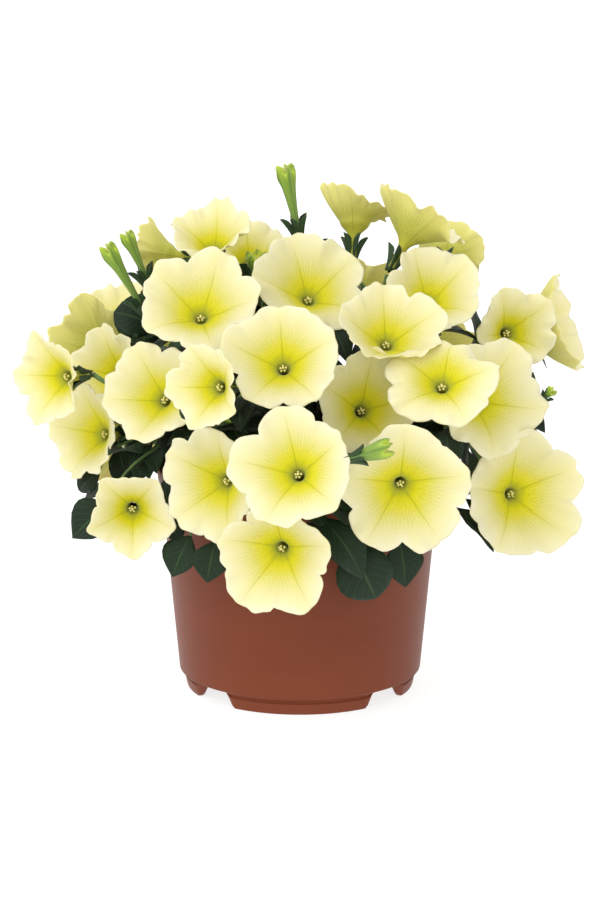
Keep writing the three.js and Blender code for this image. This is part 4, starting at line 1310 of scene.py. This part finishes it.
# Each anther: place across, above and along the tube, radius, and how long it is drawn out;
# the last one is the flat stigma
EGGS = [
    (1.3, 0.2, 0.4, 0.62, 1.3), (0.2, 1.2, 1.0, 0.55, 1.3), (-1.2, 0.5, 0.3, 0.66, 1.3),
    (-0.7, -1.1, 0.8, 0.58, 1.3), (0.9, -1.0, 0.0, 0.6, 1.3), (0.0, 0.0, 1.6, 0.7, 0.8),
]
cluster_verts, cluster_faces = [], []
for across, above, along_tube, radius, stretch in EGGS:
    verts, faces = small_egg((across, along_tube, above), radius, stretch)
    base = len(cluster_verts)
    cluster_verts += verts
    cluster_faces += [[base + n for n in face] for face in faces]
cluster = mesh_object("stamen_cluster", np.array(cluster_verts) / MM, cluster_faces)
clusters = shape_set("Stamens", [cluster])
ANTHER_HEIGHT = 15.5
keys = list(FLOWERS)
ways = [feet[key][1] for key in keys]
depth = [ANTHER_HEIGHT * flower_length(FLOWERS[key][5]) / flower_length(FULL_DIAMETER) for key in keys]
source = points_object(
    "points_stamens", [feet[key][0] + d * w for key, d, w in zip(keys, depth, ways)], ways,
    [square_to(UP, w) for w in ways], [(1, 1, 1)] * len(keys), [0] * len(keys), [0.5] * len(keys),
)
stamens = run_tree("anthers_and_stigmas", source, place_copies, {"Shapes": clusters, "Finish": pollen})
finish_piece(stamens, "petals")
print("stamen clusters:", len(keys))

# %% [markdown]
# ## The pot
#
# The pot is moulded polypropylene the colour of fired clay: a thin tapered wall with a raised
# floor, standing on a foot ring with four notches that let water out. A turned profile gives
# every ring, and its corners are rounded by a rule, as a mould rounds them. A fine groove
# parts the wall from the foot ring. In the notches the ring is drawn up to the floor. The six
# drain holes repeat round a circle, so a geometry tree cuts them. Spinning a curve would make
# the rings too, but not the notches.

# %% Pot profile
FOOT_HEIGHT, FOOT_RADIUS, WALL_FOOT_RADIUS, WALL_SLOPE, WALL = 9, 56, 59.8, 0.0918, 1.3
RIM_BAND, RIM_PROUD = 8, 1.2
NOTCH_OFFSET, NOTCH_TOP_WIDTH, NOTCH_FOOT_WIDTH, NOTCH_ROOF = 41, 9, 18.5, FOOT_HEIGHT - 0.35
CORNER_RADIUS, POT_CUT = 0.7, 240


def wall_radius(height):
    """The wall's outside at a height: it widens evenly from the foot to the rim."""
    return WALL_FOOT_RADIUS + WALL_SLOPE * (height - FOOT_HEIGHT)


def rounded(corners, radius, steps=4):
    """A line through the corners, each rounded by a small arc."""
    p = [np.array(c, dtype=float) for c in corners]
    line = [p[0]]
    for a, b, c in zip(p, p[1:], p[2:]):
        room = min(radius, np.linalg.norm(a - b) * 0.45, np.linalg.norm(c - b) * 0.45)
        start, end = b + unit(a - b) * room, b + unit(c - b) * room
        line += [(1 - t) ** 2 * start + 2 * t * (1 - t) * b + t**2 * end for t in np.linspace(0, 1, steps)]
    return np.array(line + [p[-1]])


band_foot = POT_HEIGHT - RIM_BAND
floor_top = FOOT_HEIGHT + WALL
pot_line = rounded([
    (0, FOOT_HEIGHT), (WALL_FOOT_RADIUS - 2.6, FOOT_HEIGHT), (FOOT_RADIUS - 3, 0), (FOOT_RADIUS, 0),
    (FOOT_RADIUS + 1.3, FOOT_HEIGHT - 3.4), (FOOT_RADIUS + 0.5, FOOT_HEIGHT - 3.0),
    (FOOT_RADIUS + 0.6, FOOT_HEIGHT - 2.3), (WALL_FOOT_RADIUS - 0.9, FOOT_HEIGHT - 0.7),
    (WALL_FOOT_RADIUS - 0.1, FOOT_HEIGHT), (WALL_FOOT_RADIUS, FOOT_HEIGHT + 0.8),
    (wall_radius(40), 40), (wall_radius(75), 75), (wall_radius(band_foot), band_foot),
    (wall_radius(band_foot) + RIM_PROUD, band_foot + 0.8),
    (wall_radius(POT_HEIGHT) + RIM_PROUD, POT_HEIGHT),
    (wall_radius(POT_HEIGHT) - WALL, POT_HEIGHT), (wall_radius(60) - WALL, 60),
    (wall_radius(floor_top) - WALL, floor_top), (0, floor_top),
], CORNER_RADIUS)
pot_angle = np.linspace(0, 2 * math.pi, POT_CUT, endpoint=False)
from_notch = np.abs(np.abs(FOOT_RADIUS * np.sin(pot_angle)) - NOTCH_OFFSET)
slope_run = (NOTCH_FOOT_WIDTH - NOTCH_TOP_WIDTH) / 2
notched = smooth_step((NOTCH_TOP_WIDTH / 2 + slope_run - from_notch) / slope_run)
pot_verts = []
for radius, height in pot_line[1:-1]:
    lifted = height + max(0.0, NOTCH_ROOF - height) * notched
    pot_verts.append(np.stack([radius * np.sin(pot_angle), radius * np.cos(pot_angle), lifted], axis=-1))
pot_verts = np.vstack(pot_verts + [[[0, 0, FOOT_HEIGHT], [0, 0, floor_top]]])
pot_faces = []
ring_count = len(pot_line) - 2
for i in range(ring_count - 1):
    for j in range(POT_CUT):
        k = (j + 1) % POT_CUT
        pot_faces.append([i * POT_CUT + j, (i + 1) * POT_CUT + j, (i + 1) * POT_CUT + k, i * POT_CUT + k])
low_pole, high_pole = ring_count * POT_CUT, ring_count * POT_CUT + 1
for j in range(POT_CUT):
    k = (j + 1) % POT_CUT
    pot_faces.append([low_pole, j, k])
    pot_faces.append([high_pole, (ring_count - 1) * POT_CUT + k, (ring_count - 1) * POT_CUT + j])
print("pot rings:", ring_count, "of", POT_CUT, "points")

# %% Tree that drills the drain holes
drill, given = new_tree(
    "Drill holes round a circle", ("Holes", "Int"), ("Circle", "Float"), ("Hole radius", "Float"),
    ("Height", "Float"), ("Finish", "Material"),
)
spots = add_node(drill, "GeometryNodeMeshCircle", {
    "Vertices": given.outputs["Holes"], "Radius": given.outputs["Circle"],
})
bit = add_node(drill, "GeometryNodeMeshCylinder", {
    "Vertices": 32, "Radius": given.outputs["Hole radius"], "Depth": 0.006,
})
bits = add_node(drill, "GeometryNodeInstanceOnPoints", {"Points": spots, "Instance": bit})
lifted_bits = add_node(drill, "GeometryNodeSetPosition", {
    "Geometry": add_node(drill, "GeometryNodeRealizeInstances", {0: bits}),
    "Offset": add_node(drill, "ShaderNodeCombineXYZ", {2: given.outputs["Height"]}),
})
drilled = add_node(drill, "GeometryNodeMeshBoolean", {
    "Mesh 1": given.outputs["Geometry"], "Mesh 2": lifted_bits,
}, operation="DIFFERENCE", solver="EXACT")
end_tree(drill, drilled, given.outputs["Finish"])
print("drill tree:", len(drill.nodes), "nodes")

# %% [markdown]
# Moulded polypropylene is slightly glossy, so the pot's sides mirror the white studio at a
# grazing angle and its front shows the plain clay colour. Up close the skin has the fine grain
# of the mould, about a third of a millimetre, and faint cloudy streaks where the melt flowed.

# %% Pot finish and pot
clay_plastic, tree, pot_shader = new_finish("Moulded polypropylene, clay colour")
pot_place = add_node(tree, "ShaderNodeTexCoord").outputs["Object"]
# Streaks of the melt: 11 cm wide and 4.5 cm high patches with finer ones in them
stretched = add_node(tree, "ShaderNodeMapping", {"Vector": pot_place, "Scale": (9, 9, 22)})
flow = add_node(tree, NOISE, {"Vector": stretched, "Scale": 1.0, "Detail": 3.0})
pot_colour = add_node(tree, RAMP, {0: flow}, stops=[(0.35, "#6f341d"), (0.65, "#773a22")])
gloss = add_node(tree, MAP_RANGE, {0: flow, 1: 0.3, 2: 0.7, 3: 0.40, 4: 0.50})
grain = add_node(tree, NOISE, {"Vector": pot_place, "Scale": 3000.0, "Detail": 1.0})
pot_bump = add_node(tree, "ShaderNodeBump", {"Height": grain, "Strength": 0.12, "Distance": 0.0002})
set_inputs(tree, pot_shader, {
    "Base Color": pot_colour, "Roughness": gloss, "IOR": 1.49, "Specular IOR Level": 0.22,
    "Normal": pot_bump,
})

pot_source = mesh_object("pot_profile", pot_verts, pot_faces)
pot = run_tree("grower_pot", pot_source, drill, {
    "Holes": 6, "Circle": 34 * MM, "Hole radius": 4 * MM, "Height": (FOOT_HEIGHT + WALL / 2) * MM,
    "Finish": clay_plastic,
})
# Edges sharper than 40 degrees stay crisp
pot.data.set_sharp_from_angle(angle=math.radians(40))
finish_piece(pot, "pot_plastic", "pot")
print("pot faces:", len(pot.data.polygons))

# %% [markdown]
# ## The soil
#
# The root ball fills the pot. Its top is a low dome of damp peat with bits of bark on it. The
# dome is a turned shape with an uneven top. The crumbs repeat, so a tree strews small lumps
# over it from a fixed seed; a bump alone would look flat from the side.

# %% Soil finish
peat, tree, peat_shader = new_finish("Damp peat and bark")
peat_place = add_node(tree, "ShaderNodeTexCoord").outputs["Object"]
# Lumps of about 2.5 mm, with fibres down to a tenth of that
lumps = add_node(tree, NOISE, {"Vector": peat_place, "Scale": 400.0, "Detail": 5.0})
peat_colour = add_node(tree, RAMP, {0: lumps}, stops=[
    (0.3, "#140d08"), (0.55, "#33231a"), (0.75, "#5b4330"),
])
peat_bump = add_node(tree, "ShaderNodeBump", {"Height": lumps, "Strength": 0.9, "Distance": 0.001})
set_inputs(tree, peat_shader, {"Base Color": peat_colour, "Roughness": 0.85, "Normal": peat_bump})
print("soil material:", len(tree.nodes), "nodes")

# %% Soil body
SOIL_EDGE_Z, SOIL_CROWN_Z, SEAT_GAP, UNEVENNESS = 100.5, 104, 0.35, 0.16
inner_edge = wall_radius(SOIL_EDGE_Z) - WALL - SEAT_GAP
SOIL_CUT = 96
soil_line = [
    (wall_radius(floor_top) - WALL - SEAT_GAP - 0.6, floor_top + SEAT_GAP),
    (inner_edge - 0.3, SOIL_EDGE_Z),
] + [
    (inner_edge * share, SOIL_EDGE_Z + (SOIL_CROWN_Z - SOIL_EDGE_Z) * (1 - share**2))
    for share in np.linspace(0.97, 0.04, 26)
]
chance = np.random.default_rng(5)
waves = [(chance.uniform(0.08, 0.5, 2), chance.uniform(0, 6.28, 2)) for _ in range(7)]
soil_verts = []
for i, (radius, height) in enumerate(soil_line):
    for a in np.linspace(0, 2 * math.pi, SOIL_CUT, endpoint=False):
        x, y = radius * math.sin(a), radius * math.cos(a)
        uneven = sum(math.sin(f[0] * x + p[0]) * math.sin(f[1] * y + p[1]) for f, p in waves)
        soil_verts.append((x, y, height + (UNEVENNESS * uneven if i > 1 else 0)))
soil_faces = [list(range(SOIL_CUT))]
for i in range(len(soil_line) - 1):
    for j in range(SOIL_CUT):
        k = (j + 1) % SOIL_CUT
        soil_faces.append([i * SOIL_CUT + j, (i + 1) * SOIL_CUT + j, (i + 1) * SOIL_CUT + k, i * SOIL_CUT + k])
soil_faces.append(list(range(len(soil_verts) - 1, len(soil_verts) - SOIL_CUT - 1, -1)))
soil = mesh_object("root_ball", soil_verts, soil_faces, peat)
finish_piece(soil, "soil", "potting_soil")
print("soil faces:", len(soil.data.polygons))

# %% Crumbs strewn on the soil
strew, given = new_tree(
    "Strew crumbs on the top", ("Crumbs per m2", "Float"), ("Smallest", "Float"), ("Largest", "Float"),
    ("Seed", "Int"), ("Finish", "Material"),
)
# Only the top, where the surface looks up steeply enough
normal = add_node(strew, AXES, {0: add_node(strew, "GeometryNodeInputNormal")})
is_top = add_node(strew, "FunctionNodeCompare", {0: normal.outputs[2], 1: 0.7}, operation="GREATER_THAN")
strewn = add_node(strew, "GeometryNodeDistributePointsOnFaces", {
    "Mesh": given.outputs["Geometry"], "Selection": is_top,
    "Density": given.outputs["Crumbs per m2"], "Seed": given.outputs["Seed"],
})
lump = add_node(strew, "GeometryNodeMeshIcoSphere", {"Radius": 1.0, "Subdivisions": 1})
spin = add_node(strew, "FunctionNodeRandomValue", {
    0: (0, 0, 0), 1: (6.28, 6.28, 6.28), "Seed": given.outputs["Seed"],
}, data_type="FLOAT_VECTOR")
length = add_node(strew, "FunctionNodeRandomValue", {
    2: given.outputs["Smallest"], 3: given.outputs["Largest"], "Seed": given.outputs["Seed"],
}, data_type="FLOAT").outputs[1]
# Flakes of bark: less wide than long, and flatter still
flake = add_node(strew, "ShaderNodeCombineXYZ", {
    0: length, 1: add_node(strew, MATH, {0: length, 1: 0.7}, operation="MULTIPLY"),
    2: add_node(strew, MATH, {0: length, 1: 0.5}, operation="MULTIPLY"),
})
crumbs = add_node(strew, "GeometryNodeInstanceOnPoints", {
    "Points": strewn, "Instance": lump, "Rotation": spin, "Scale": flake,
})
end_tree(strew, crumbs, given.outputs["Finish"])
crumb_source = bpy.data.objects.new("crumb_ground", soil.data.copy())
scene.collection.objects.link(crumb_source)
crumb_piece = run_tree("soil_crumbs", crumb_source, strew, {
    "Crumbs per m2": 220000.0, "Smallest": 0.5 * MM, "Largest": 1.5 * MM, "Seed": 4, "Finish": peat,
})
finish_piece(crumb_piece, "soil", "potting_soil")
print("crumb faces:", len(crumb_piece.data.polygons))

# %% [markdown]
# ## Clearing up
#
# The unit shapes were only helpers, so they go. The finished model must keep the CAD model's
# size.

# %% Helpers out
for folder in list(scene.collection.children):
    if folder.name in ("Leaf shapes", "Sepal", "Cup shape", "Stamens"):
        for helper in list(folder.objects):
            bpy.data.objects.remove(helper)
        bpy.data.collections.remove(folder)
